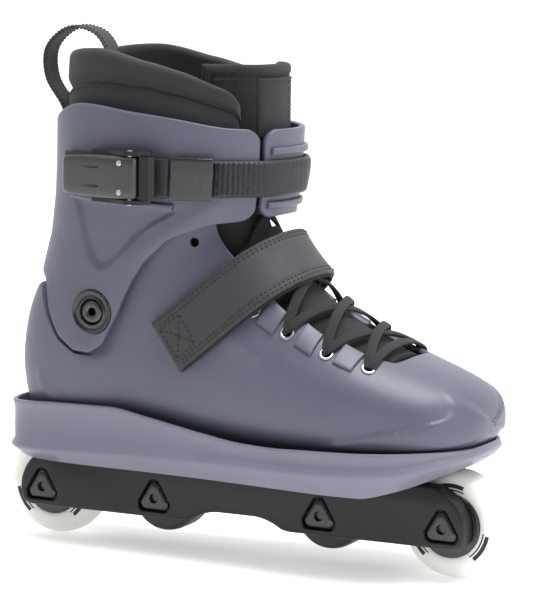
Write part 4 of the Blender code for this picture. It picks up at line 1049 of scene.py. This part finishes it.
def make_cuff():
    first, last = CUFF_FIRST_ANGLE, CUFF_LAST_ANGLE
    columns = rim_spread(first, last, 230, 1.2, 0.75)
    rows = rim_spread(0.0, 1.0, 60, 1.2, 75.0)
    outer, inner = [], []
    for t, drop_t in rows:
        row_out, row_in = [], []
        for a, drop_a in columns:
            low, high = cuff_edges(a)
            near = min(a - first, last - a) * 0.9
            pull = 9.0 - math.sqrt(max(0.0, 81.0 - (9.0 - near) ** 2)) if near < 9.0 else 0.0
            z = low + pull + (high - low - 2 * pull) * t
            drop = max(drop_t, drop_a)
            row_out.append(cuff_surface(a, z, -drop))
            row_in.append(cuff_point(a, z, CUFF_WALL - drop))
        outer.append(row_out)
        inner.append(row_in)
    points, faces = thick_sheet(outer, inner)
    made = build("cuff_body_shell", points, faces, "boot", "cuff_body", ("cuff",))
    cut(made, [rod((PIVOT_X, 0, PIVOT_Z), CUFF_BUSH_RADIUS + 0.4, -70, 70, 64)])


def make_pivots():
    for side, sign in (("outer", -1), ("inner", 1)):
        centre = (PIVOT_X, 0, PIVOT_Z)
        y, inside, radius = BUSH_OUTER_Y, BUSH_INNER_Y, CUFF_BUSH_RADIUS
        profile = [(6.9, y - 0.5), (7.6, y + 0.9), (9.0, y + 0.2), (10.4, y + 0.3), (11.5, y + 1.3),
                   (radius, y + 0.7), (radius, inside), (3.4, inside), (3.4, inside + 1.2), (6.9, inside + 1.2)]
        turned(f"pivot_ring_{side}", rounded([(r, sign * h) for r, h in profile], 0.5), centre, 96,
               kind="gloss", body="chassis", replaces=(f"cuff_bush_{side}",))
        head = [(2.3, y - 2.0), (2.3, y - 0.2), (3.6, y + 0.5), (5.4, y + 0.4), (6.4, y - 0.3),
                (6.4, inside + 1.6), (3.1, inside + 1.6), (3.1, 31.0), (2.3, 31.0)]
        turned(f"pivot_bolt_{side}", rounded([(r, sign * h) for r, h in head], 0.3), centre, 72,
               kind="dark_steel", body="chassis", replaces=(f"cuff_bolt_{side}",))


def make_plate():
    outline = closed_outline(PLATE_OUTLINE, 8 * len(PLATE_OUTLINE))
    bottom, edge, top = ((lambda x, table=table: smooth_table(table, x))
                         for table in (PLATE_BOTTOM, PLATE_CHAMFER, PLATE_TOP))
    # The tray's wall from below to inside: distance out from the outline, height curve, rise above it
    levels = (
        (-8.0, bottom, 0.0), (-7.0, bottom, 0.05), (0.2, edge, -0.7), (0.9, edge, 0.0), (1.2, edge, 0.9),
        (1.0, edge, 2.2), (-0.6, edge, 5.0), (-0.8, top, -6.0), (-0.4, top, -3.0), (0.1, top, -2.0),
        (0.35, top, -1.0), (0.1, top, -0.25), (-0.5, top, 0.0), (-PLATE_WALL + 1.6, top, 0.0),
        (-PLATE_WALL + 1.1, top, -0.4), (-PLATE_WALL + 0.9, top, -1.4),
    )
    rings = [[(p.x, p.y, height(p.x) + lift) for p in offset_outline(outline, out)]
             for out, height, lift in levels]
    rings.append([(p.x, p.y, PLATE_FLOOR_Z + max(0.0, (p.x - 112.0) * 0.2))
                  for p in offset_outline(outline, -PLATE_WALL - 1.0)])
    points, faces = loft(rings, cap=False)
    n = len(outline)
    faces += strip_cap(0, n) + strip_cap(len(points) - n, n)
    plate = build("sole_tray", points, faces, "plate", "chassis", ("sole_plate",))
    cutters = [box("cut_channel", (-170, -CHANNEL_HALF_WIDTH, 30),
                   (108, CHANNEL_HALF_WIDTH, CHANNEL_TOP_Z))]
    for end in OUTER_WHEELS:
        x = AXLE_X[end]
        cutters.append(box("cut_well", (x - 31, -15, 40),
                           (x + (31 if end == "rear" else 12), 15, WELL_TOP_Z)))
    cutters.append(box("cut_rear", (-170, -CHANNEL_HALF_WIDTH, 30), (-136, CHANNEL_HALF_WIDTH, WELL_TOP_Z)))
    for x in (-FRAME_BOLT_X, FRAME_BOLT_X):
        cutters.append(rod((x, 0, 57), 3.6, -20, 20, axis="Z"))
    cut(plate, cutters)


def make_frame():
    end, low, high = 138.0, FRAME_BOTTOM_Z, FRAME_TOP_Z
    half = [(0.0, GRIND_ARCH_Z), (14.0, GRIND_ARCH_Z), (22.0, GRIND_ARCH_Z - 2.2), (29.0, low + 0.6),
            (33.0, low), (end - 6.0, low), (end - 1.6, low + 1.8), (end, low + 7.0), (end - 0.5, low + 16.0),
            (end - 5.0, low + 25.0), (end - 13.0, high - 2.5), (end - 18.0, high)]
    outline = rounded(half + [(-x, z) for x, z in reversed(half[1:])], 4.0, 5)
    wide = FRAME_HALF_WIDTH
    centre_z = 36.0
    rings = []
    for y, inset in ((-wide, 1.2), (-wide + 0.35, 0.5), (-wide + 1.2, 0.0), (wide - 1.2, 0.0),
                     (wide - 0.35, 0.5), (wide, 1.2)):
        rings.append([(x - math.copysign(min(inset, abs(x)), x) if abs(x) > 110 else x,
                       y, z + (inset if z < centre_z else -inset)) for x, z in outline])
    points, faces = loft(rings)
    made = build("frame_body", points, faces, "black", "chassis", ("frame",))
    slot = WHEEL_SLOT_HALF_WIDTH
    cutters = []
    for name, x in AXLE_X.items():
        reach = 33.0 if name in OUTER_WHEELS else 23.5
        low_x = -150.0 if name == "rear" else x - reach
        high_x = 150.0 if name == "front" else x + reach
        cutters.append(box("cut_slot", (low_x, -slot, 0), (high_x, slot, 80)))
        cutters.append(rod((x, 0, AXLE_Z), 4.2, -40, 40))
        for sign in (-1, 1):
            outer, inner = sign * (wide + 1.0), sign * (wide - 4.0)
            rings = [[(x + px * grow, y, AXLE_Z + pz * grow) for px, pz in rounded_triangle(10.6, 14)]
                     for y, grow in ((outer, 1.16), (sign * wide, 1.1), (sign * (wide - 0.8), 1.02),
                                     (inner, 1.0))]
            points, faces = loft(rings)
            cutters.append(build("cut_recess", points, faces))
    for sign in (-1, 1):
        low_x, high_x = sorted((sign * (INNER_AXLE_X + 23.2), sign * (WHEELBASE / 2 - 32.7)))
        cutters.append(box("cut_bay", (low_x, -slot, 0), (high_x, slot, FRAME_BRIDGE_Z)))
        cutters.append(rod((sign * FRAME_BOLT_X, 0, 49), 3.4, -10, 12, axis="Z"))
    cut(made, cutters)


def make_axles():
    """The domed three-cornered heads on the outer side, each with its shaft."""
    for name, x in AXLE_X.items():
        seat, face = FRAME_HALF_WIDTH - 3.7, FRAME_HALF_WIDTH - 0.9
        circle = [(math.cos(math.radians(90 + 360 * k / 42)),
                   math.sin(math.radians(90 + 360 * k / 42))) for k in range(42)]
        corner = rounded_triangle(9.4, 14)
        start = min(range(42), key=lambda k: (Vector(corner[k]) - Vector((0, 9.4))).length)
        corner = corner[start:] + corner[:start]
        rings = [[(x + 2.9 * u, y, AXLE_Z + 2.9 * v) for u, v in circle] for y in (seat - 2.5, -seat)]
        for y, grow in ((-seat, 1.0), (-face + 0.5, 1.0), (-face + 0.1, 0.95), (-face - 0.25, 0.82),
                        (-face - 0.4, 0.6)):
            rings.append([(x + grow * u, y, AXLE_Z + grow * v) for u, v in corner])
        for y, radius in ((-face - 0.4, 2.9), (-face + 0.2, 2.5), (-face + 2.0, 2.4)):
            rings.append([(x + radius * u, y, AXLE_Z + radius * v) for u, v in circle])
        points, faces = loft(rings)
        build(f"axle_head_{name}", points, faces, "gloss", "chassis", (f"axle_bolt_{name}",))


def make_wheels():
    half = WHEEL_WIDTH / 2
    for name, x in AXLE_X.items():
        centre, body = (x, 0, AXLE_Z), f"wheel_{name}"
        if name in OUTER_WHEELS:
            r = WHEEL_RADIUS
            side = smooth_route([(r, 0.0), (r - 0.35, 4.0), (r - 1.5, 7.4), (r - 4.0, 10.2),
                                 (r - 7.0, half - 0.6)], 6)
            tread = [tuple(p) for p in side] + [(CORE_RADIUS + 1.4, half - 0.4),
                                                (CORE_RADIUS + GAP, half - 1.0)]
            profile = [(rad, -h) for rad, h in reversed(tread)] + tread[1:]
            turned(f"tyre_body_{name}", profile, centre, 128, kind="white", body=body,
                   replaces=(f"tyre_{name}",))
            hub = rounded([(BEARING_SEAT, half), (CORE_RADIUS, half), (CORE_RADIUS, -half),
                           (BEARING_SEAT, -half)], 0.7)
            turned(f"core_body_{name}", hub, centre, 96, kind="gloss", body=body,
                   replaces=(f"core_{name}",))
            make_print(name, centre, body)
        else:
            r = SMALL_WHEEL_RADIUS
            profile = [(BEARING_SEAT, -half), (r - 5.0, -half + 0.8), (r - 2.2, -half + 0.6),
                       (r - 0.6, -half + 2.4), (r, -half + 6.0)]
            profile += [(rad, -h) for rad, h in reversed(profile)]
            turned(f"small_wheel_body_{name}", rounded(profile, 1.2), centre, 96,
                   kind="small", body=body, replaces=(f"small_wheel_{name}",))


def make_print(name, centre, body):
    """Plain arcs printed on both sides of a tyre."""
    half = WHEEL_WIDTH / 2
    points, faces = [], []
    for sign in (-1, 1):
        for middle, (width, *radii) in product((90, 210, 330), ((46, 19.6, 20.4), (40, 21.2, 23.4))):
            angles = [math.radians(t) for t in spread(middle - width / 2, middle + width / 2, 30)]
            rows = []
            for radius in radii:
                y = half - 0.4 - 0.2 * max(0.0, (radius - 20.0) / 3.0) + 0.05
                rows.append([(centre[0] + radius * math.cos(a), sign * y, centre[2] + radius * math.sin(a))
                             for a in angles])
            under = [[(px, py - sign * 0.35, pz) for px, py, pz in row] for row in rows]
            more, more_faces = thick_sheet(rows, under)
            base = len(points)
            points += more
            faces += [tuple(base + i for i in face) for face in more_faces]
    build(f"tyre_print_{name}", points, faces, "ink", body)


# ---------------------------------------------------------------- strap and laces
def make_strap():
    def arc(count):
        return rim_spread(-38.0, 218.0, count, 1.0, 0.75)

    rows = rim_spread(-STRAP_HALF_WIDTH, STRAP_HALF_WIDTH, 34, 1.0, 1.0)
    sheet("instep_strap_top", strap_surface, arc(190), rows, 1.6, 3.7, "nubuck", "chassis",
          ("instep_strap",), lambda angle, along: strap_puff(along))
    under = rim_spread(-STRAP_HALF_WIDTH + 0.5, STRAP_HALF_WIDTH + 0.9, 14, 0.7, 1.0)
    sheet("instep_strap_lining", strap_surface, arc(150), under, 0.0, 1.45, "binding", "chassis")
    lines = []
    for along in (-13.9, -11.6, 11.6, 13.9):
        lines.append([strap_stitch(angle, along) for angle in spread(-34.0, 214.0, 150)])
    for end in (-1, 1):
        low, high = (-35.0, -17.0) if end < 0 else (197.0, 215.0)
        corners = [(low, -9.5), (high, -9.5), (high, 9.5), (low, 9.5), (low, -9.5)]
        for a, b in list(zip(corners, corners[1:])) + [(corners[0], corners[2]), (corners[1], corners[3])]:
            lines.append([strap_stitch(*Vector(a).lerp(Vector(b), t)) for t in spread(0.0, 1.0, 9)])
    stitches("strap_stitching", lines, "chassis")


def strap_puff(along):
    """How far the strap's face stands up: padded across its width, pressed in along its two seams."""
    return 0.5 * (1 - (along / STRAP_HALF_WIDTH) ** 4) - 0.35 * math.exp(-((abs(along) - 11.6) / 0.9) ** 2)


def strap_stitch(angle, along):
    place, normal = strap_place(angle, along)
    return place + normal * (strap_lift(angle) + 3.75 + strap_puff(along)), normal


def make_laces():
    """Two flat laces that cross from side to side up the opening."""
    stops = list(EYELETS) + [(10.2, 56.0), (11.9, 62.0)]
    for first, word in ((1, "a"), (-1, "b")):
        route, ups = [], []
        for k, ((s, a), (next_s, next_a)) in enumerate(zip(stops, stops[1:])):
            side = first if k % 2 == 0 else -first
            start, stop = (a if side > 0 else 180 - a), (next_a if side < 0 else 180 - next_a)
            for q in range(20):
                t = q / 20
                centre = math.sin(math.pi * t)
                over = 0.85 if (k + (first > 0)) % 2 else -0.65
                lift = 2.2 + 1.5 * over * centre ** 2 - 1.6 * (1 - step(min(t, 1 - t) / 0.06))
                lift -= {3: 5.5 * step(t), 4: 5.5}.get(k, 0.0)
                place, normal = boot_place(s + (next_s - s) * t, start + (stop - start) * t, lift)
                route.append(place)
                ups.append(normal)
        ribbon(f"lace_{word}", route, ups, [5.4] * len(route), 2.1, "lace", "chassis",
               ("shell_lace",) if first > 0 else ())
    s, a = EYELETS[0]
    pairs = [boot_place(s - 0.06, t, 1.7 - 1.6 * (1 - step(min(t - a, 180 - a - t) / 7)))
             for t in spread(a, 180 - a, 30)]
    ribbon("lace_toe_bar", [p for p, _ in pairs], [n for _, n in pairs], [5.4] * 30, 2.0, "lace", "chassis")


# ---------------------------------------------------------------- buckle
def band(name, first, last, low_z, high_z, low, high, kind, replaces=(), body="cuff_body", count=60,
         rows=14, puff=None, radius=0.8):
    """A band that follows the outside of the cuff between two angles."""
    reach = (cuff_point(first, BUCKLE_Z) - cuff_point((first + last) / 2, BUCKLE_Z)).length
    reach += (cuff_point(last, BUCKLE_Z) - cuff_point((first + last) / 2, BUCKLE_Z)).length
    us = rim_spread(first, last, count, radius, reach / abs(last - first))
    vs = rim_spread(low_z, high_z, rows, radius, 1.0)
    return sheet(name, lambda a, z, lift: cuff_point(a, z, -lift), us, vs, low, high, kind, body, replaces,
                 puff)


def ladder_teeth(angle, z):
    """Slanting teeth down the middle of the ladder strap, in front of the buckle."""
    middle = 1 - step((abs(z - BUCKLE_Z) - 8.6) / 0.8)
    run = step((57.5 - angle) / 2.0) * step((angle + 30.0) / 2.0)
    travelled = (cuff_point(angle, z).y - cuff_point(0.0, z).y) * 0.55 + cuff_point(angle, z).x * 0.85
    phase = (travelled / 2.7) % 1.0
    return 1.7 * middle * run * (phase if phase < 0.78 else (1 - phase) / 0.22 * 0.78) - 0.25 * middle


def make_buckle():
    low, high = STRAP_LOW_Z, STRAP_HIGH_Z
    band("ladder", 76.0, -84.0, low + 1, high - 1, 1.2, 3.4, "ladder", ("ladder_strap",), count=460,
         rows=26, puff=ladder_teeth)
    band("buckle_plate", 128.0, 78.0, low - 0.5, high + 0.5, 0.4, 3.4, "black", ("buckle_base",))
    band("buckle_front", 76.4, 57.0, low - 0.8, high + 0.8, 4.3, 6.4, "gloss", ("buckle_nose",), count=40,
         puff=lambda a, z: 0.5 * math.exp(-((a - 63) / 8) ** 2), radius=1.0)
    band("buckle_window", 83.5, 77.0, low + 0.2, high - 0.2, 4.2, 5.6, "ladder", (), count=14)
    sheet("buckle_ledge", lambda a, z, lift: cuff_point(a, z + (a - 100.0) * 0.07, -lift),
          rim_spread(125.0, 75.0, 50, 1.0, 1.2),
          rim_spread(198.3, 201.6, 6, 1.2, 1.0), -1.4, 2.4, "boot", "cuff_body")
    for word, z in (("low", 197.6), ("high", 227.2)):
        band(f"flap_shoulder_{word}", 21.0, -58.0, z, z + 4.0, -1.0, 2.3, "boot", (), count=70, rows=8,
             radius=1.1)
    make_lever()


def make_lever():
    """The lever's shell: thick at the hinge, thinner and lower towards its free end, with rounded edges."""
    outer = ((-92.0, -57.0), (-90.0, -58.6), (-82.0, -60.4), (-72.0, -62.3), (-60.0, -64.0), (-50.0, -64.5),
             (-44.5, -64.2), (-43.0, -62.6))
    inner = ((-92.0, -55.8), (-90.0, -55.8), (-80.0, -57.4), (-60.0, -58.2), (-43.0, -59.0))
    height = ((-92.0, 8.2), (-90.5, 9.6), (-84.0, 10.8), (-70.0, 11.6), (-50.0, 11.8), (-44.0, 11.6),
              (-43.0, 10.8))
    xs = spread(-92.0, -90.0, 8) + spread(-89.5, -45.0, 60) + spread(-44.7, -43.0, 7)
    rings = []
    for x in xs:
        y_out, y_in, reach = smooth_table(outer, x), blend_table(inner, x), smooth_table(height, x)
        ring = []
        for k in range(64):
            a = 2 * math.pi * k / 64
            z = power(math.sin(a), 0.32) * reach
            y = (y_out + y_in) / 2 - power(math.cos(a), 0.5) * (y_in - y_out) / 2
            ring.append((x, y, BUCKLE_Z + z))
        rings.append(ring)
    points, faces = loft(rings)
    lever = build("lever_shell", points, faces, "lever", "lever_body", ("buckle_lever",))
    cutters = [rod((*LEVER_PIN, 0), 1.7, 190, 240, axis="Z")]
    for z in (BUCKLE_Z - 5.2, BUCKLE_Z + 5.2):
        cutters.append(box("cut_slot", (-86.0, -70.0, z - 0.7), (-66.0, -61.2, z + 0.7)))
    cut(lever, cutters)
    for k, z in enumerate((BUCKLE_Z - 8.0, BUCKLE_Z + 8.0)):
        turned(f"lever_rivet_{k}", rounded([(0.01, -62.5), (1.5, -62.5), (1.5, -64.8), (1.0, -65.1),
                                            (0.01, -65.1)], 0.2),
               (-52.5, 0, z), 28, kind="steel", body="lever_body")


# ---------------------------------------------------------------- liner
def collar_surface(angle, t, lift):
    bottom = blend_table(COLLAR_LOWER_EDGE, cuff_point(angle, 200.0).x)
    front = min(angle - COLLAR_FRONT_ANGLE, 360 - COLLAR_FRONT_ANGLE - angle) * 0.9
    round_off = 12.0 - math.sqrt(max(0.0, 144.0 - (12.0 - front) ** 2)) if front < 12.0 else 0.0
    z = bottom + (liner_top(angle) - round_off - bottom) * t
    return cuff_point(angle, z, COLLAR_INSET + 3.0 * t * t + COLLAR_WALL - lift)


def make_collar():
    """The padded leg part of the inner boot, with a bound upper edge and a seam below it."""
    us = rim_spread(COLLAR_FRONT_ANGLE, 360 - COLLAR_FRONT_ANGLE, 170, 3.2, 0.75)
    vs = rim_spread(0.0, 1.0, 60, 3.2, 80.0)

    def puff(angle, t):
        above = (1 - t) * 80.0
        padded = 0.7 * math.sin(math.radians(angle * 7)) * step((above - 16) / 8) * 0.35
        rolled = 1.5 * step((15.0 - above) / 4.0)
        seam = -1.3 * math.exp(-((above - 15.5) / 1.1) ** 2)
        return padded + rolled + seam

    made = sheet("liner_leg", collar_surface, us, vs, 0.0, COLLAR_WALL, "liner", "cuff_body",
                 ("liner_collar",), puff)
    line = []
    for angle in spread(COLLAR_FRONT_ANGLE + 5, 355 - COLLAR_FRONT_ANGLE, 200):
        t = 1 - 17.8 / 80.0
        place = collar_surface(angle, t, COLLAR_WALL + 0.15 + puff(angle, t))
        normal = collar_surface(angle, t, COLLAR_WALL + 2.0) - collar_surface(angle, t, 0.0)
        line.append((place, normal.normalized()))
    stitches("collar_stitching", [line], "cuff_body")


def tongue_surface(angle, z, lift):
    return cuff_point(angle, z, 15.5 - lift + TONGUE_TUCK * step((angle - 20.0) / 22.0))


def make_tongue():
    us = rim_spread(-34.0, TONGUE_OUTER_ANGLE, 70, 2.6, 0.95)
    vs = rim_spread(206.0, 276.0, 60, 2.6, 1.0)

    def puff(angle, z):
        edge = min(34.0 + angle, TONGUE_OUTER_ANGLE - angle, 276.0 - z)
        return 0.9 * math.cos(math.radians((angle - 10) * 1.8)) - 1.1 * math.exp(-((edge - 6.5) / 1.0) ** 2)

    made = sheet("tongue_leg", tongue_surface, us, vs, 0.0, 7.0, "mesh", "cuff_body", ("tongue_upper",),
                 puff)
    patch_us, patch_vs = rim_spread(-6.0, 25.0, 24, 0.4, 0.95), rim_spread(236.0, 268.5, 34, 0.4, 1.0)
    sheet("tongue_patch", tongue_surface, patch_us, patch_vs, 7.0, 8.9, "patch", "cuff_body")
    lines = []
    for inset, lift in ((8.4, 7.2),):
        side = TONGUE_OUTER_ANGLE - inset
        left = [(-34.0 + inset, z) for z in spread(238.0, 276.0 - inset, 14)]
        top = [(a, 276.0 - inset) for a in spread(-34.0 + inset, side, 24)]
        right = [(side, z) for z in spread(276.0 - inset, 250.0, 14)]
        lines.append([tongue_stitch(a, z, lift + puff(a, z)) for a, z in left + top[1:] + right[1:]])
    corners = [(-4.5, 237.5), (23.5, 237.5), (23.5, 267.0), (-4.5, 267.0), (-4.5, 237.5)]
    for a, b in zip(corners, corners[1:]):
        lines.append([tongue_stitch(*Vector(a).lerp(Vector(b), t), 8.95) for t in spread(0.0, 1.0, 10)])
    stitches("tongue_stitching", lines, "cuff_body", 2.6, 1.7, 0.3)


def tongue_stitch(angle, z, lift):
    place = tongue_surface(angle, z, lift)
    return place, (tongue_surface(angle, z, lift + 2.0) - tongue_surface(angle, z, lift - 2.0)).normalized()


def make_tongue_lower():
    us = rim_spread(-1.0, 1.0, 40, 0.9, 36.0)
    vs = rim_spread(5.3, 10.6, 90, 0.9, 20.0)

    def surface(u, s, lift):
        return boot_point(s, 90 + u * (throat_half_angle(s) + 4.0), lift, False)

    made = sheet("tongue_foot", surface, us, vs, -LINER_INSET + 1.3, -SHELL_WALL - 1.1, "mesh", "chassis",
                 ("tongue_lower",),
                 lambda u, s: 1.5 * (1 - min(1.0, abs(u) / 0.8) ** 2))


def make_liner_foot():
    stations = spread(0.35, 14.0, 90)
    rings = [[boot_point(s, 4.0 * k, -LINER_INSET, False) for k in range(90)] for s in stations]
    inner = [[boot_point(s, 4.0 * k, -LINER_INSET - LINER_WALL, False) for k in range(90)]
             for s in stations]
    n = 90
    points, faces = loft(rings, cap=False)
    more, more_faces = loft(inner, cap=False)
    base = len(points)
    faces.append(tuple(range(n))[::-1])
    faces += [tuple(base + i for i in face)[::-1] for face in more_faces]
    faces.append(tuple(base + i for i in range(n)))
    last = (len(rings) - 1) * n
    for i in range(n):
        j = (i + 1) % n
        faces.append((last + i, last + j, base + last + j, base + last + i))
    flow = [(k * 3.0, r * 4.0) for r in range(len(rings)) for k in range(n)] * 2
    made = build("liner_sock", points + more, faces, "liner", "chassis", ("liner_foot",), flow)
    cut(made, [box("cut_liner", (-130, -60, SHELL_FLAP_TOP_Z), (60, 60, 260))])


def make_insole():
    stations = rim_spread(3.2, 10.6, 60, 1.2, 24.0)
    angles = rim_spread(235.0, 305.0, 30, 1.2, 1.0)
    outer, inner = [], []
    for s, drop_s in stations:
        below = [boot_point(s, a, -LINER_INSET - LINER_WALL - 1.4, False) for a, _ in angles]
        inner.append(below)
        outer.append([Vector((p.x, p.y, INSOLE_TOP_Z - max(drop_s, d)))
                      for p, (_, d) in zip(below, angles)])
    points, faces = thick_sheet(outer, inner)
    made = build("footbed_pad", points, faces, "foam", "chassis", ("insole",), grid_flow(outer))


def make_pull_loop():
    route = smooth_route(((-115.7, 237.0), (-121.0, 249.0), (-131.0, 264.0), (-131.0, 281.0),
                          (-117.0, 292.5),
                          (-100.0, 290.0), (-92.0, 277.0), (-99.5, 262.0)), 14)
    places = [Vector((p.x, 0.0, p.y)) for p in route]
    ups = []
    for k in range(len(places)):
        along = (places[min(k + 1, len(places) - 1)] - places[max(k - 1, 0)]).normalized()
        ups.append(along.cross(Vector((0, 1, 0))).normalized())
    ribbon("pull_loop_web", places, ups, [16.0] * len(places), 1.7, "webbing", "cuff_body", ("pull_loop",),
           16)
    lines = []
    for across in (-6.3, 6.3):
        lines.append([(place + Vector((0, across, 0)) - up * 0.85, -up) for place,
                      up in zip(places[8:-8], ups[8:-8])])
        lines.append([(place + Vector((0, across, 0)) + up * 0.85, up) for place,
                      up in zip(places[8:-8], ups[8:-8])])
    stitches("pull_loop_stitching", lines, "cuff_body", 2.4, 1.6, 0.3)


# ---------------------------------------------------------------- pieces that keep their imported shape
PLAIN_KINDS = {
    "frame_bolt": "dark_steel", "frame_nut": "steel", "axle_sleeve": "dark_steel", "spacer": "steel",
    "cuff_nut": "steel", "strap_keeper": "black", "buckle_rail": "black", "ladder_screw": "dark_steel",
    "lever_pin": "steel", "ratchet_pawl": "black", "bearing": "steel",
}


def finish_plain_nodes():
    for name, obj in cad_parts.items():
        kinds = [kind for start, kind in PLAIN_KINDS.items() if name.startswith(start)]
        if not kinds:
            continue
        obj.data.materials.clear()
        obj.data.materials.append(finish(kinds[0]))
        modifier = obj.modifiers.new("soft_edges", "BEVEL")
        modifier.width = 0.35 * MM
        modifier.segments = 2
        modifier.limit_method = "ANGLE"
        modifier.angle_limit = math.radians(35)


make_camera()
make_studio()
make_shell()
make_boot_hardware()
make_cuff()
make_pivots()
make_plate()
make_frame()
make_axles()
make_wheels()
make_strap()
make_laces()
make_buckle()
make_collar()
make_tongue()
make_tongue_lower()
make_liner_foot()
make_insole()
make_pull_loop()
finish_plain_nodes()
